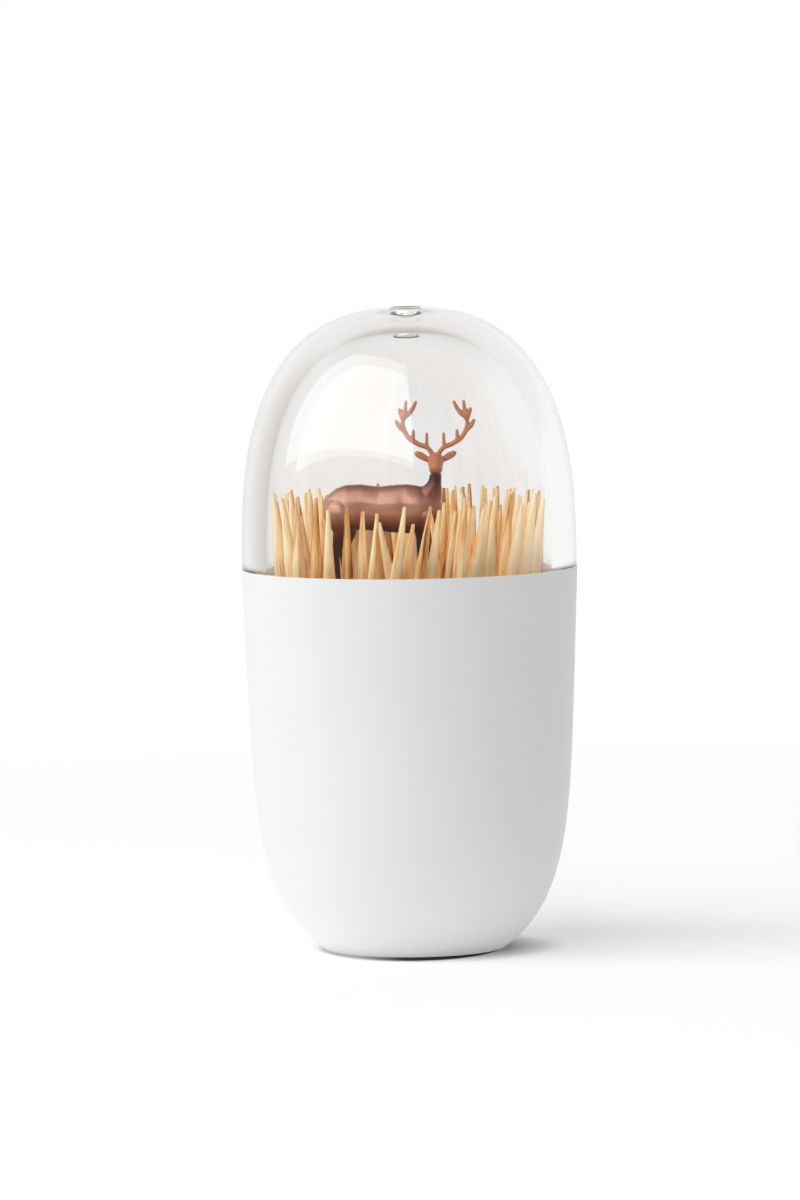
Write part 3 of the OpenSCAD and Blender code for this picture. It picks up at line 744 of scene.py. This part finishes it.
def dome_side(r, h, low):
    """Points up one side of a dome, from height low to just before the hole's edge."""
    high = dome_curve_z(edge_r * EDGE_SPARE, r, h)
    start, end = math.asin(low / h), math.asin(high / h)
    turns = [start + (end - start) * i / DOME_STEPS for i in range(DOME_STEPS + 1)]
    heights = [h * math.sin(a) for a in turns]
    return [(dome_curve_r(z, r, h), CUP_H + z, 0) for z in heights]


inner_r, inner_h = DOME_R - DOME_WALL, DOME_H - DOME_WALL
hole_top = outline_top - HOLE_ROUND
hole_foot = CUP_H + dome_curve_z(edge_r, inner_r, inner_h) + HOLE_ROUND
print("the hole's straight part is %.2f mm long" % ((hole_top - hole_foot) / MM))

# %% Dome
DOME_COLUMNS = 240
SPIGOT_ROUND = 0.25 * MM
SPIGOT_INSET = 1 * MM

spigot_foot = CUP_H - SPIGOT_H
foot_middle = (SPIGOT_R - SPIGOT_INSET, spigot_foot, 0)
dome_corners = [
    foot_middle,
    (SPIGOT_R, spigot_foot, SPIGOT_ROUND),
    (SPIGOT_R, CUP_H, RIM_ROUND),
    (DOME_R, CUP_H, RIM_ROUND),
    *dome_side(DOME_R, DOME_H, OUTSIDE_LOW),
    *quarter(edge_r, hole_top, HOLE_ROUND, 90, 180),
    *quarter(edge_r, hole_foot, HOLE_ROUND, 180, 270),
    *dome_side(inner_r, inner_h, INSIDE_LOW)[::-1],
    (inner_r, spigot_foot, SPIGOT_ROUND),
    foot_middle,
]
dome = turned("dome_casting", dome_corners, DOME_COLUMNS, clear_acrylic)
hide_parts("dome_lid")
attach(dome, "lid")

# %% [markdown]
# ## The floor plate and the post
#
# These two are plain mouldings, and their solids already have the right shape, so they keep
# their frame meshes and only get a finish. The plate is the cup's plastic with a duller
# skin. The post is of the stag's brown plastic, because they are one figure, in darker tones.

# %% Floor plate
plate_white = white_plastic(
    "plate_white",
    drift=(240, 3),
    whites=((0.84, 0.835, 0.82), (0.875, 0.872, 0.862)),
    roughness=(0.5, 0.62),
    grain=(4200, 2),
    relief=(0.008 * MM, 0.4),
    ior=1.5,
)
refinish("floor_plate", plate_white)
print("floor plate: top at %.1f mm" % (plate_high.z / MM))

# %% [markdown]
# ## The stag's brown
#
# The figure is cast in a brown plastic with a satin skin. Its flanks are red brown, and its
# light side goes pinkish where the softbox shines along it. This comes partly from the pearl
# in the plastic and partly from a painted highlight. Its hollows and legs are painted almost
# black brown, as painted shade. The colour follows three things. A value that each mesh
# carries for how hollow or how proud it is paints shade in the hollows and highlight on the
# ridges. The height paints a light band along the flank and shade on the legs and the neck.
# On the body, how far along it is paints shade that darkens towards the chest.

# %% Values of the brown plastics
TONE_PLACES = (0.18, 0.5, 0.85)
CLOUDS = (900, 3, 0.5)
CLOUD_SHARE = 0.07
BROWN_GLOSS = (-0.03, 0.05)
BROWN_IOR = 1.6
BROWN_GRAIN = (3800, 3, 0.65)
BROWN_RELIEF = (0.008 * MM, 0.3)

# Painted light and shade by height: shade on the legs, a highlight band along the flank, shade on the
# neck.
BODY_SHADE_AND_HIGHLIGHT_HEIGHTS = [
    (66 * MM, -0.42),
    (71.5 * MM, -0.3),
    (72.8 * MM, -0.1),
    (74.2 * MM, 0.16),
    (76 * MM, 0.42),
    (77.8 * MM, 0.37),
    (79.4 * MM, 0.2),
    (80.8 * MM, -0.08),
    (82.5 * MM, -0.3),
]
# Painted shade, darker towards the chest.
BODY_CHEST_SHADE = (0, 3.5 * MM, 0, -0.24)
# Painted shade at the foot of the head, where it meets the neck.
HEAD_SHADE_HEIGHTS = [(82.2 * MM, -0.4), (83.2 * MM, 0.0)]


# %% Brown plastic
def brown_plastic(name, tones, roughness, pearl, heights=(), chest=None):
    """A satin brown with three tones, from the painted shade of a hollow to the painted highlight
    of a ridge, and a share of pearl in it.

    It reads the mesh's relief for those tones. The tone moves further, as painted light and
    shade, by the values at the heights, each of which is (height, shift). It also moves by
    chest, which is (start, end, shift at start, shift at end).
    """
    material, tree, shader = new_material(name, {"IOR": BROWN_IOR, "Metallic": pearl})
    place = object_place(tree)
    # The relief paints shade in the hollows and a highlight on the ridges.
    relief = add(tree, "ShaderNodeAttribute", attribute_name="relief").outputs["Fac"]
    cloudy = noise(tree, place, *CLOUDS)
    clouds = calc(tree, "MULTIPLY", calc(tree, "SUBTRACT", cloudy, 0.5), CLOUD_SHARE)
    tone = calc(tree, "ADD", relief, clouds)
    # Painted light and shade by height.
    if heights:
        low, span = plate_high.z, head_high.z - plate_high.z
        up = remap(tree, axes(tree, place)["Z"], low, head_high.z, 0, 1)
        stops = greys([((z - low) / span, 0.5 + shift) for z, shift in heights])
        tone = calc(tree, "ADD", tone, calc(tree, "SUBTRACT", ramp(tree, up, stops), 0.5))
    # Painted shade towards the chest.
    if chest:
        tone = calc(tree, "ADD", tone, remap(tree, axes(tree, place)["X"], *chest))
    tree.links.new(ramp(tree, tone, list(zip(TONE_PLACES, tones))), shader.inputs["Base Color"])
    gloss(tree, shader, cloudy, roughness + BROWN_GLOSS[0], roughness + BROWN_GLOSS[1])
    bump(tree, shader, noise(tree, place, *BROWN_GRAIN), *BROWN_RELIEF)
    print("%s: %d nodes" % (name, len(tree.nodes)))
    return material


# %% The three browns
# Three tones each: painted shade for hollows, the plastic's own brown, painted highlight for ridges.
BODY_TONES = ((0.045, 0.010, 0.004), (0.23, 0.068, 0.036), (0.56, 0.29, 0.205))
HEAD_TONES = ((0.09, 0.016, 0.004), (0.51, 0.155, 0.055), (0.78, 0.34, 0.15))
POST_TONES = ((0.04, 0.014, 0.010), (0.14, 0.048, 0.028), (0.2, 0.075, 0.045))

stag_brown = brown_plastic("stag_brown", BODY_TONES, 0.31, 0.45, BODY_SHADE_AND_HIGHLIGHT_HEIGHTS, BODY_CHEST_SHADE)
stag_light_brown = brown_plastic("stag_light_brown", HEAD_TONES, 0.4, 0.0, HEAD_SHADE_HEIGHTS)
post_brown = brown_plastic("post_brown", POST_TONES, 0.4, 0.0)
refinish("stag_post", post_brown)

# %% [markdown]
# ## The stag
#
# The frame's stag is a row of simple rings and rounded limbs, so creases show where they
# meet. A real casting flows from limb to limb. A voxel remesh joins all of it into one even
# skin, smoothing melts the creases, and then muscles, eyes and nostrils are pushed in and
# out of that skin with soft round dabs, the way a sculptor adds and takes clay. The stag
# could be sculpted by hand instead, but dabs in code come out the same every time.

# %% One even skin
SAME_POINT = 1e-7
SMOOTH_FACTOR = 0.5


def merged(node):
    """A frame node's mesh with its doubled points merged, as an open bmesh."""
    bm = bmesh.new()
    bm.from_mesh(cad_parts[node].data)
    bmesh.ops.remove_doubles(bm, verts=bm.verts, dist=SAME_POINT)
    return bm


def even_skin(name, node, voxel_mm, smoothing):
    """A copy of a frame mesh, remeshed in millimetres to an even skin and smoothed."""
    bm = merged(node)
    bmesh.ops.scale(bm, verts=bm.verts, vec=(1 / MM, 1 / MM, 1 / MM))
    mesh = bpy.data.meshes.new(name)
    bm.to_mesh(mesh)
    bm.free()
    rough = in_scene(name, mesh)
    remesh = rough.modifiers.new("remesh", "REMESH")
    remesh.mode = "VOXEL"
    remesh.voxel_size = voxel_mm
    remesh.use_smooth_shade = True
    smooth = rough.modifiers.new("smooth", "SMOOTH")
    smooth.factor = SMOOTH_FACTOR
    smooth.iterations = smoothing
    made = made_plain(name, rough)
    made.data.transform(Matrix.Scale(MM, 4))
    return made


# %% [markdown]
# The dabs move each point of a skin along its own normal, most in their middle and less
# further out. The relief is measured afterwards: each point is averaged with its neighbours
# a few times, and where the skin stands out of that average it is proud, and where it lies
# under it, hollow. The brown reads this value, to paint shade into the hollows and a
# highlight onto the ridges.

# %% Sculpting helpers
OWN_SHARE = 0.3
NEIGHBOUR_SHARE = 0.7
EXTREMES = (2, 98)


def places_of(mesh):
    """The mesh's points and their normals, as arrays."""
    places = np.empty(len(mesh.vertices) * 3, np.float32)
    normals = np.empty(len(mesh.vertices) * 3, np.float32)
    mesh.vertices.foreach_get("co", places)
    mesh.vertices.foreach_get("normal", normals)
    return places.reshape(-1, 3).astype(float), normals.reshape(-1, 3).astype(float)


def dab(made, point_at, dabs):
    """Pushes the skin out, or in where the height is negative, alike on both sides.

    Each dab is (place, spread along each axis, height), in millimetres but for the place.
    """
    places, normals = places_of(made.data)
    push = np.zeros(len(places))
    for side in (-1, 1):
        for (first, second, third), spread, height in dabs:
            centre = np.array(point_at(first, second, third, side))
            away = (places - centre) / np.array([size * MM for size in spread])
            push += height * MM * np.exp(-(away**2).sum(1))
    moved = (places + normals * push[:, None]).astype(np.float32)
    made.data.vertices.foreach_set("co", moved.ravel())
    made.data.update()


def store_relief(made, rounds, gain):
    """Stores how proud each point is of its surroundings, from 0 in a hollow to 1 on a ridge."""
    places, normals = places_of(made.data)
    edges = np.empty(len(made.data.edges) * 2, np.int32)
    made.data.edges.foreach_get("vertices", edges)
    edges = edges.reshape(-1, 2)
    mean = places.copy()
    for _ in range(rounds):
        total, count = np.zeros_like(mean), np.zeros(len(mean))
        for a, b in ((0, 1), (1, 0)):
            np.add.at(total, edges[:, a], mean[edges[:, b]])
            np.add.at(count, edges[:, a], 1)
        mean = OWN_SHARE * mean + NEIGHBOUR_SHARE * total / np.maximum(count, 1)[:, None]
    proud = ((places - mean) * normals).sum(1) * gain / MM
    attribute = made.data.attributes.new("relief", "FLOAT", "POINT")
    attribute.data.foreach_set("value", np.clip(0.5 + proud, 0, 1).astype(np.float32))
    print("%s: relief from %.2f to %.2f" % (made.name, *np.percentile(0.5 + proud, EXTREMES)))


# %% [markdown]
# The stag's body stands side on, with its legs among the toothpicks. Seen from the side, its
# haunch and shoulder swell a little, the flank between them is flatter, and the belly tucks
# up towards the hind legs.

# %% Stag's body
STAG_L = 20.5 * MM
STAG_H = 18.7 * MM
STAG_W = 5.4 * MM
STAG_X = -14.7 * MM
LEDGE_H = 61.5 * MM
BODY_VOXEL_MM = 0.13
BODY_SMOOTHING = 9
BODY_ROUNDS = 10
BODY_GAIN = 1.3
BODY_DABS = {
    "haunch": ((0.14, 1, 0.76), (2.6, 2, 2.8), 0.28),
    "shoulder": ((0.80, 1, 0.78), (2.0, 2, 3.2), 0.26),
    "chest": ((0.90, 1, 0.66), (1.5, 2, 1.8), 0.16),
    "hollow before the haunch": ((0.32, 1, 0.70), (1.0, 2, 2.4), -0.30),
    "hollow behind the shoulder": ((0.665, 1, 0.74), (0.8, 2, 3.0), -0.20),
    "flank": ((0.50, 1, 0.76), (2.4, 2, 2.0), 0.12),
    "hock": ((0.105, 0.6, 0.40), (0.7, 0.8, 0.9), 0.10),
    "knee": ((0.865, 0.6, 0.34), (0.5, 0.8, 0.8), 0.08),
}


def stag_point(along, across, up, side):
    """A place on the stag: along from rump to chest, across to one side, up from the hooves."""
    return (STAG_X + along * STAG_L, side * across * STAG_W / 2, LEDGE_H + up * STAG_H)


stag_body = even_skin("stag_body_casting", "stag_body", BODY_VOXEL_MM, BODY_SMOOTHING)
stag_body.data.materials.append(stag_brown)
dab(stag_body, stag_point, BODY_DABS.values())
store_relief(stag_body, BODY_ROUNDS, BODY_GAIN)
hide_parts("stag_body")
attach(stag_body, "cup")

# %% [markdown]
# The head is a piece of its own, plugged into the neck. It looks straight at the camera, so
# its face is the part that is looked at: the frame gives it a muzzle that narrows to the nose
# and flat, leaf-shaped ears, and the dabs add eye sockets, brows, nostrils and cheeks. The
# antlers stay thin, so this skin is finer and smoothed less.

# %% Stag's head
HEAD_H = 3.6 * MM
HEAD_W = 3 * MM
NECK_ALONG = 0.949
NECK_RISE = 1.9 * MM
NECK_JOINT = Vector((STAG_X + NECK_ALONG * STAG_L, 0, LEDGE_H + STAG_H + NECK_RISE))
HEAD_VOXEL_MM = 0.08
HEAD_SMOOTHING = 3
HEAD_ROUNDS = 7
HEAD_GAIN = 5.0
HEAD_DABS = {
    "eye socket": ((0.95, 0.30, 0.60), (0.34, 0.34, 0.34), -0.22),
    "brow": ((0.80, 0.36, 0.80), (0.5, 0.5, 0.25), 0.10),
    "nostril": ((0.22, 1.0, 0.27), (0.16, 0.16, 0.16), -0.16),
    "cheek": ((0.62, 0.10, 0.36), (0.5, 0.7, 0.5), 0.10),
}


def head_point(across, forward, up, side):
    """A place on the head: across to one side, forward to the nose, up from the neck joint."""
    x, y, z = NECK_JOINT
    return (x + side * across * HEAD_W / 2, y - forward * HEAD_H, z + up * HEAD_H)


stag_head = even_skin("stag_head_casting", "stag_head", HEAD_VOXEL_MM, HEAD_SMOOTHING)
stag_head.data.materials.append(stag_light_brown)
dab(stag_head, head_point, HEAD_DABS.values())
store_relief(stag_head, HEAD_ROUNDS, HEAD_GAIN)
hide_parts("stag_head")
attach(stag_head, "cup")

# %% [markdown]
# ## The toothpicks
#
# A toothpick is a round birch stick, tapered at both ends and cut off blunt. There are 121,
# all alike and all a little different, which is what Geometry Nodes do best: one tree makes
# the stick, stands it on each point and tilts it along that point's line. The points and
# lines are measured from the frame's sticks, so each new stick stands in for an old one.

# %% Measure the frame's toothpicks
END_SLICE = 0.02 * MM
PLACE_DIGITS = 7
RINGS = 5


def islands(bm):
    """The points of each separate solid in a mesh, as arrays."""
    seen, found = set(), []
    for start in bm.verts:
        if start.index in seen:
            continue
        seen.add(start.index)
        island, queue = [], [start]
        while queue:
            vert = queue.pop()
            island.append(tuple(vert.co))
            for edge in vert.link_edges:
                other = edge.other_vert(vert)
                if other.index not in seen:
                    seen.add(other.index)
                    queue.append(other)
        found.append(np.array(island))
    return found


def sticks_of(node):
    """The foot and the top of each separate stick in a frame mesh."""
    bm = merged(node)
    bm.verts.ensure_lookup_table()
    found = []
    for points in islands(bm):
        middle = points.mean(0)
        way = np.linalg.svd(points - middle, full_matrices=False)[2][0]
        way = way if way[2] > 0 else -way
        along = (points - middle) @ way
        foot = points[along < along.min() + END_SLICE].mean(0)
        top = points[along > along.max() - END_SLICE].mean(0)
        found.append(tuple(np.round([foot, top], PLACE_DIGITS).ravel()))
    bm.free()
    return sorted(found)


ring_nodes = ["toothpicks_ring_%d" % ring for ring in range(1, RINGS + 1)]
bundle_sticks = [stick for node in ring_nodes for stick in sticks_of(node)]
single_stick = sticks_of("loose_toothpick")
ends = np.array(bundle_sticks + single_stick)
lengths = np.linalg.norm(ends[:, 3:] - ends[:, :3], axis=1) / MM
print("%d + %d toothpicks," % (len(bundle_sticks), len(single_stick)), end=" ")
print("%.1f to %.1f mm long" % (lengths.min(), lengths.max()))

# %% [markdown]
# Birch is pale cream, but in a handful of toothpicks some are honey coloured and a few are
# brown, and each has fine fibres along it with a few darker streaks. The streaks are deep and
# run down to a dark brown. Besides being the wood's own streaks, they stand in for the shade
# between the sticks, as painted shade. Each stick carries a tint and its own coordinates, so
# that the fibres run along it however it leans, and no two sticks show the same ones. Thin
# wood lets some light soak through from behind, and a painted glow, a little light in the
# wood's own colour, stands in for that.

# %% Birch
# From pale cream to dark brown; the darkest stop is partly painted shade between the sticks.
BIRCH_TONES = [
    (0.05, (1.0, 0.83, 0.53)),
    (0.3, (1.0, 0.66, 0.30)),
    (0.6, (0.74, 0.34, 0.10)),
    (0.85, (0.26, 0.075, 0.015)),
]
# The emission is a painted glow in the wood's colour.
BIRCH_VALUES = {"Emission Strength": 0.08, "IOR": 1.45, "Specular IOR Level": 0.15}
BIRCH_ROUGHNESS = (0.55, 0.75)
FIBRES = (3400, 5, 0.7)
FIBRE_STRETCH = (1, 1, 0.035)
FIBRE_SHARE = 0.95
FIBRE_RELIEF = (0.05 * MM, 0.6)
STREAKS = (1000, 2, 0.5)
STREAK_STRETCH = (1, 1, 0.06)
# Deep streaks: the wood's own, and partly painted shade between the sticks.
STREAK_AND_SHADE_SHARE = 1.8

birch, tree, shader = new_material("birch", BIRCH_VALUES)
local = add(tree, "ShaderNodeAttribute", attribute_name="stick_place").outputs["Vector"]
tone = add(tree, "ShaderNodeAttribute", attribute_name="stick_tint").outputs["Fac"]
fibres = noise(tree, stretched(tree, local, FIBRE_STRETCH), *FIBRES)
streaks = noise(tree, stretched(tree, local, STREAK_STRETCH), *STREAKS)
for pattern, share in ((streaks, STREAK_AND_SHADE_SHARE), (fibres, FIBRE_SHARE)):
    shift = calc(tree, "MULTIPLY", calc(tree, "SUBTRACT", pattern, 0.5), share)
    tone = calc(tree, "ADD", tone, shift)
wood = ramp(tree, tone, BIRCH_TONES)
# The wood's colour also feeds the painted glow.
for label in ("Base Color", "Emission Color"):
    tree.links.new(wood, shader.inputs[label])
gloss(tree, shader, fibres, *BIRCH_ROUGHNESS)
bump(tree, shader, fibres, *FIBRE_RELIEF)
print("birch: %d nodes" % len(tree.nodes))

# %% [markdown]
# The toothpick tree works in three steps. The first shapes one blank: a cylinder of radius
# one, whose rings of points are moved to the right heights and radii. The second stands the
# blank on each point, and stores its place on the stick with an offset of its own, which the
# birch reads. The third pushes the skin in a little by a noise, as if whittled.

# %% Values and helpers of the toothpick tree
STICK_SPANS = 7
TAPER_POWER = 1.2
SEED_STEP = (0.37, 0.21, 0.53)
WHITTLE_STRETCH = (1, 1, 0.25)
WHITTLE_SCALE = 700.0


def named(tree, name, kind):
    """An attribute that each point carries."""
    node = add(tree, "GeometryNodeInputNamedAttribute", data_type=kind, Name=name)
    return node.outputs["Attribute"]


def stored(tree, geometry, name, value):
    """The geometry with a vector stored on each of its points under a name."""
    values = {"data_type": "FLOAT_VECTOR", "domain": "POINT", "Name": name}
    return then(tree, "StoreNamedAttribute", geometry, {"Value": value}, **values)


# %% Shape of one toothpick
def blank_stick(tree, given):
    """One tapered stick on the origin, along Z, which carries its own coordinates."""
    blank = add(tree, "GeometryNodeMeshCylinder", Radius=1, Depth=1)
    blank.inputs["Side Segments"].default_value = STICK_SPANS
    tree.links.new(given["Sides"], blank.inputs["Vertices"])
    here = axes(tree, tree.nodes.new("GeometryNodeInputPosition").outputs[0])
    lifted = calc(tree, "ADD", here["Z"], 0.5)
    level = calc(tree, "ROUND", calc(tree, "MULTIPLY", lifted, STICK_SPANS))
    from_end = calc(tree, "MINIMUM", level, calc(tree, "SUBTRACT", STICK_SPANS, level))
    share = calc(tree, "DIVIDE", from_end, (STICK_SPANS - 1) / 2)
    share = calc(tree, "POWER", share, TAPER_POWER)
    depth = calc(tree, "MULTIPLY", share, given["Taper length"])
    upper = calc(tree, "GREATER_THAN", level, STICK_SPANS / 2)
    from_top = calc(tree, "SUBTRACT", given["Length"], depth)
    low_part = calc(tree, "MULTIPLY", calc(tree, "SUBTRACT", 1, upper), depth)
    height = calc(tree, "ADD", calc(tree, "MULTIPLY", upper, from_top), low_part)
    swell = calc(tree, "SUBTRACT", given["Radius"], given["Tip radius"])
    thick = calc(tree, "ADD", given["Tip radius"], calc(tree, "MULTIPLY", share, swell))
    x, y = (calc(tree, "MULTIPLY", here[axis], thick) for axis in "XY")
    shape = add(tree, "ShaderNodeCombineXYZ", links={0: x, 1: y, 2: height})
    stick = then(tree, "SetPosition", blank.outputs["Mesh"], {"Position": shape.outputs[0]})
    smooth = then(tree, "SetShadeSmooth", stick, {"Selection": blank.outputs["Side"]})
    here = tree.nodes.new("GeometryNodeInputPosition").outputs[0]
    return stored(tree, smooth, "stick_place", here)


# %% Toothpicks standing on points
def standing(tree, given, stick):
    """The stick on each point: tilted along its line, spun by its seed, at its length."""
    tilt = named(tree, "stick_way", "FLOAT_VECTOR")
    aligned = add(tree, "FunctionNodeAlignRotationToVector", axis="Z", links={"Vector": tilt})
    angle = calc(tree, "MULTIPLY", named(tree, "stick_seed", "FLOAT"), 2 * math.pi)
    spin = add(tree, "ShaderNodeCombineXYZ", links={2: angle})
    links = {"Rotation": aligned.outputs[0], "Rotate By": spin.outputs[0]}
    spun = add(tree, "FunctionNodeRotateRotation", rotation_space="LOCAL", links=links)
    growth = calc(tree, "DIVIDE", named(tree, "stick_length", "FLOAT"), given["Length"])
    scale = add(tree, "ShaderNodeCombineXYZ", X=1, Y=1, links={2: growth})
    links = {"Points": given["Geometry"], "Instance": stick}
    links |= {"Rotation": spun.outputs[0], "Scale": scale.outputs[0]}
    stand = add(tree, "GeometryNodeInstanceOnPoints", links=links)
    real = then(tree, "RealizeInstances", stand.outputs[0])
    links = {"Scale": named(tree, "stick_seed", "FLOAT")}
    offset = add(tree, "ShaderNodeVectorMath", operation="SCALE", links=links)
    offset.inputs[0].default_value = SEED_STEP
    links = {0: named(tree, "stick_place", "FLOAT_VECTOR"), 1: offset.outputs[0]}
    own_place = add(tree, "ShaderNodeVectorMath", operation="ADD", links=links)
    return stored(tree, real, "stick_place", own_place.outputs[0])


# %% The toothpick tree
def toothpick_tree():
    """One stick for each point, tilted along its line, each a little uneven."""
    sizes = ("Length", "Radius", "Tip radius", "Taper length", "Unevenness")
    inputs = [(label, "NodeSocketFloat") for label in sizes]
    inputs += [("Sides", "NodeSocketInt"), ("Finish", "NodeSocketMaterial")]
    tree, group_input, out = geometry_tree("toothpicks", inputs)
    given = group_input.outputs
    sticks = standing(tree, given, blank_stick(tree, given))
    place = stretched(tree, named(tree, "stick_place", "FLOAT_VECTOR"), WHITTLE_STRETCH)
    uneven = noise(tree, place, WHITTLE_SCALE, 1.0)
    inwards = calc(tree, "MULTIPLY", calc(tree, "MULTIPLY", uneven, given["Unevenness"]), -1)
    normal = tree.nodes.new("GeometryNodeInputNormal").outputs[0]
    links = {0: normal, "Scale": inwards}
    push = add(tree, "ShaderNodeVectorMath", operation="SCALE", links=links)
    whittled = then(tree, "SetPosition", sticks, {"Offset": push.outputs[0]})
    end_tree(tree, whittled, group_input, out)
    return tree


TOOTHPICKS = toothpick_tree()
print("toothpick tree: %d nodes" % len(TOOTHPICKS.nodes))

# %% Points that carry the toothpicks
TINT_SEED = 11
TINT_LEAST = 0.05
TINT_SPAN = 0.6
TINT_POWER = 1.7


def points_for(name, sticks, chance):
    """A mesh with one point at each stick's foot, which carries its line, length, tint and seed."""
    mesh = bpy.data.meshes.new(name)
    mesh.from_pydata([stick[:3] for stick in sticks], [], [])
    lines = np.array([np.array(stick[3:]) - np.array(stick[:3]) for stick in sticks])
    long = np.linalg.norm(lines, axis=1)
    tints = TINT_LEAST + TINT_SPAN * chance.random(len(sticks)) ** TINT_POWER
    for label, kind, field, values in (
        ("stick_way", "FLOAT_VECTOR", "vector", lines / long[:, None]),
        ("stick_length", "FLOAT", "value", long),
        ("stick_tint", "FLOAT", "value", tints),
        ("stick_seed", "FLOAT", "value", chance.random(len(sticks))),
    ):
        attribute = mesh.attributes.new(label, kind, "POINT")
        attribute.data.foreach_set(field, values.astype(np.float32).ravel())
    return mesh


chance = np.random.default_rng(TINT_SEED)
bundle_points = points_for("bundle_points", bundle_sticks, chance)
single_point = points_for("single_point", single_stick, chance)
print("%d + %d points" % (len(bundle_points.vertices), len(single_point.vertices)))

# %% Toothpicks
STICK_SIZES = {
    "Length": 65 * MM,
    "Radius": 1 * MM,
    "Tip radius": 0.3 * MM,
    "Taper length": 11 * MM,
    "Unevenness": 0.1 * MM,
    "Sides": 10,
    "Finish": birch,
}

bundle = made_by_nodes("toothpicks_bundle", bundle_points, TOOTHPICKS, STICK_SIZES)
single = made_by_nodes("toothpick_single", single_point, TOOTHPICKS, STICK_SIZES)
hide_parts(*ring_nodes)
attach(bundle, "toothpicks")
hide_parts("loose_toothpick")
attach(single, "one_toothpick")
carried = sorted(a.name for a in bundle.data.attributes if not a.name.startswith("."))
print("attributes:", carried)
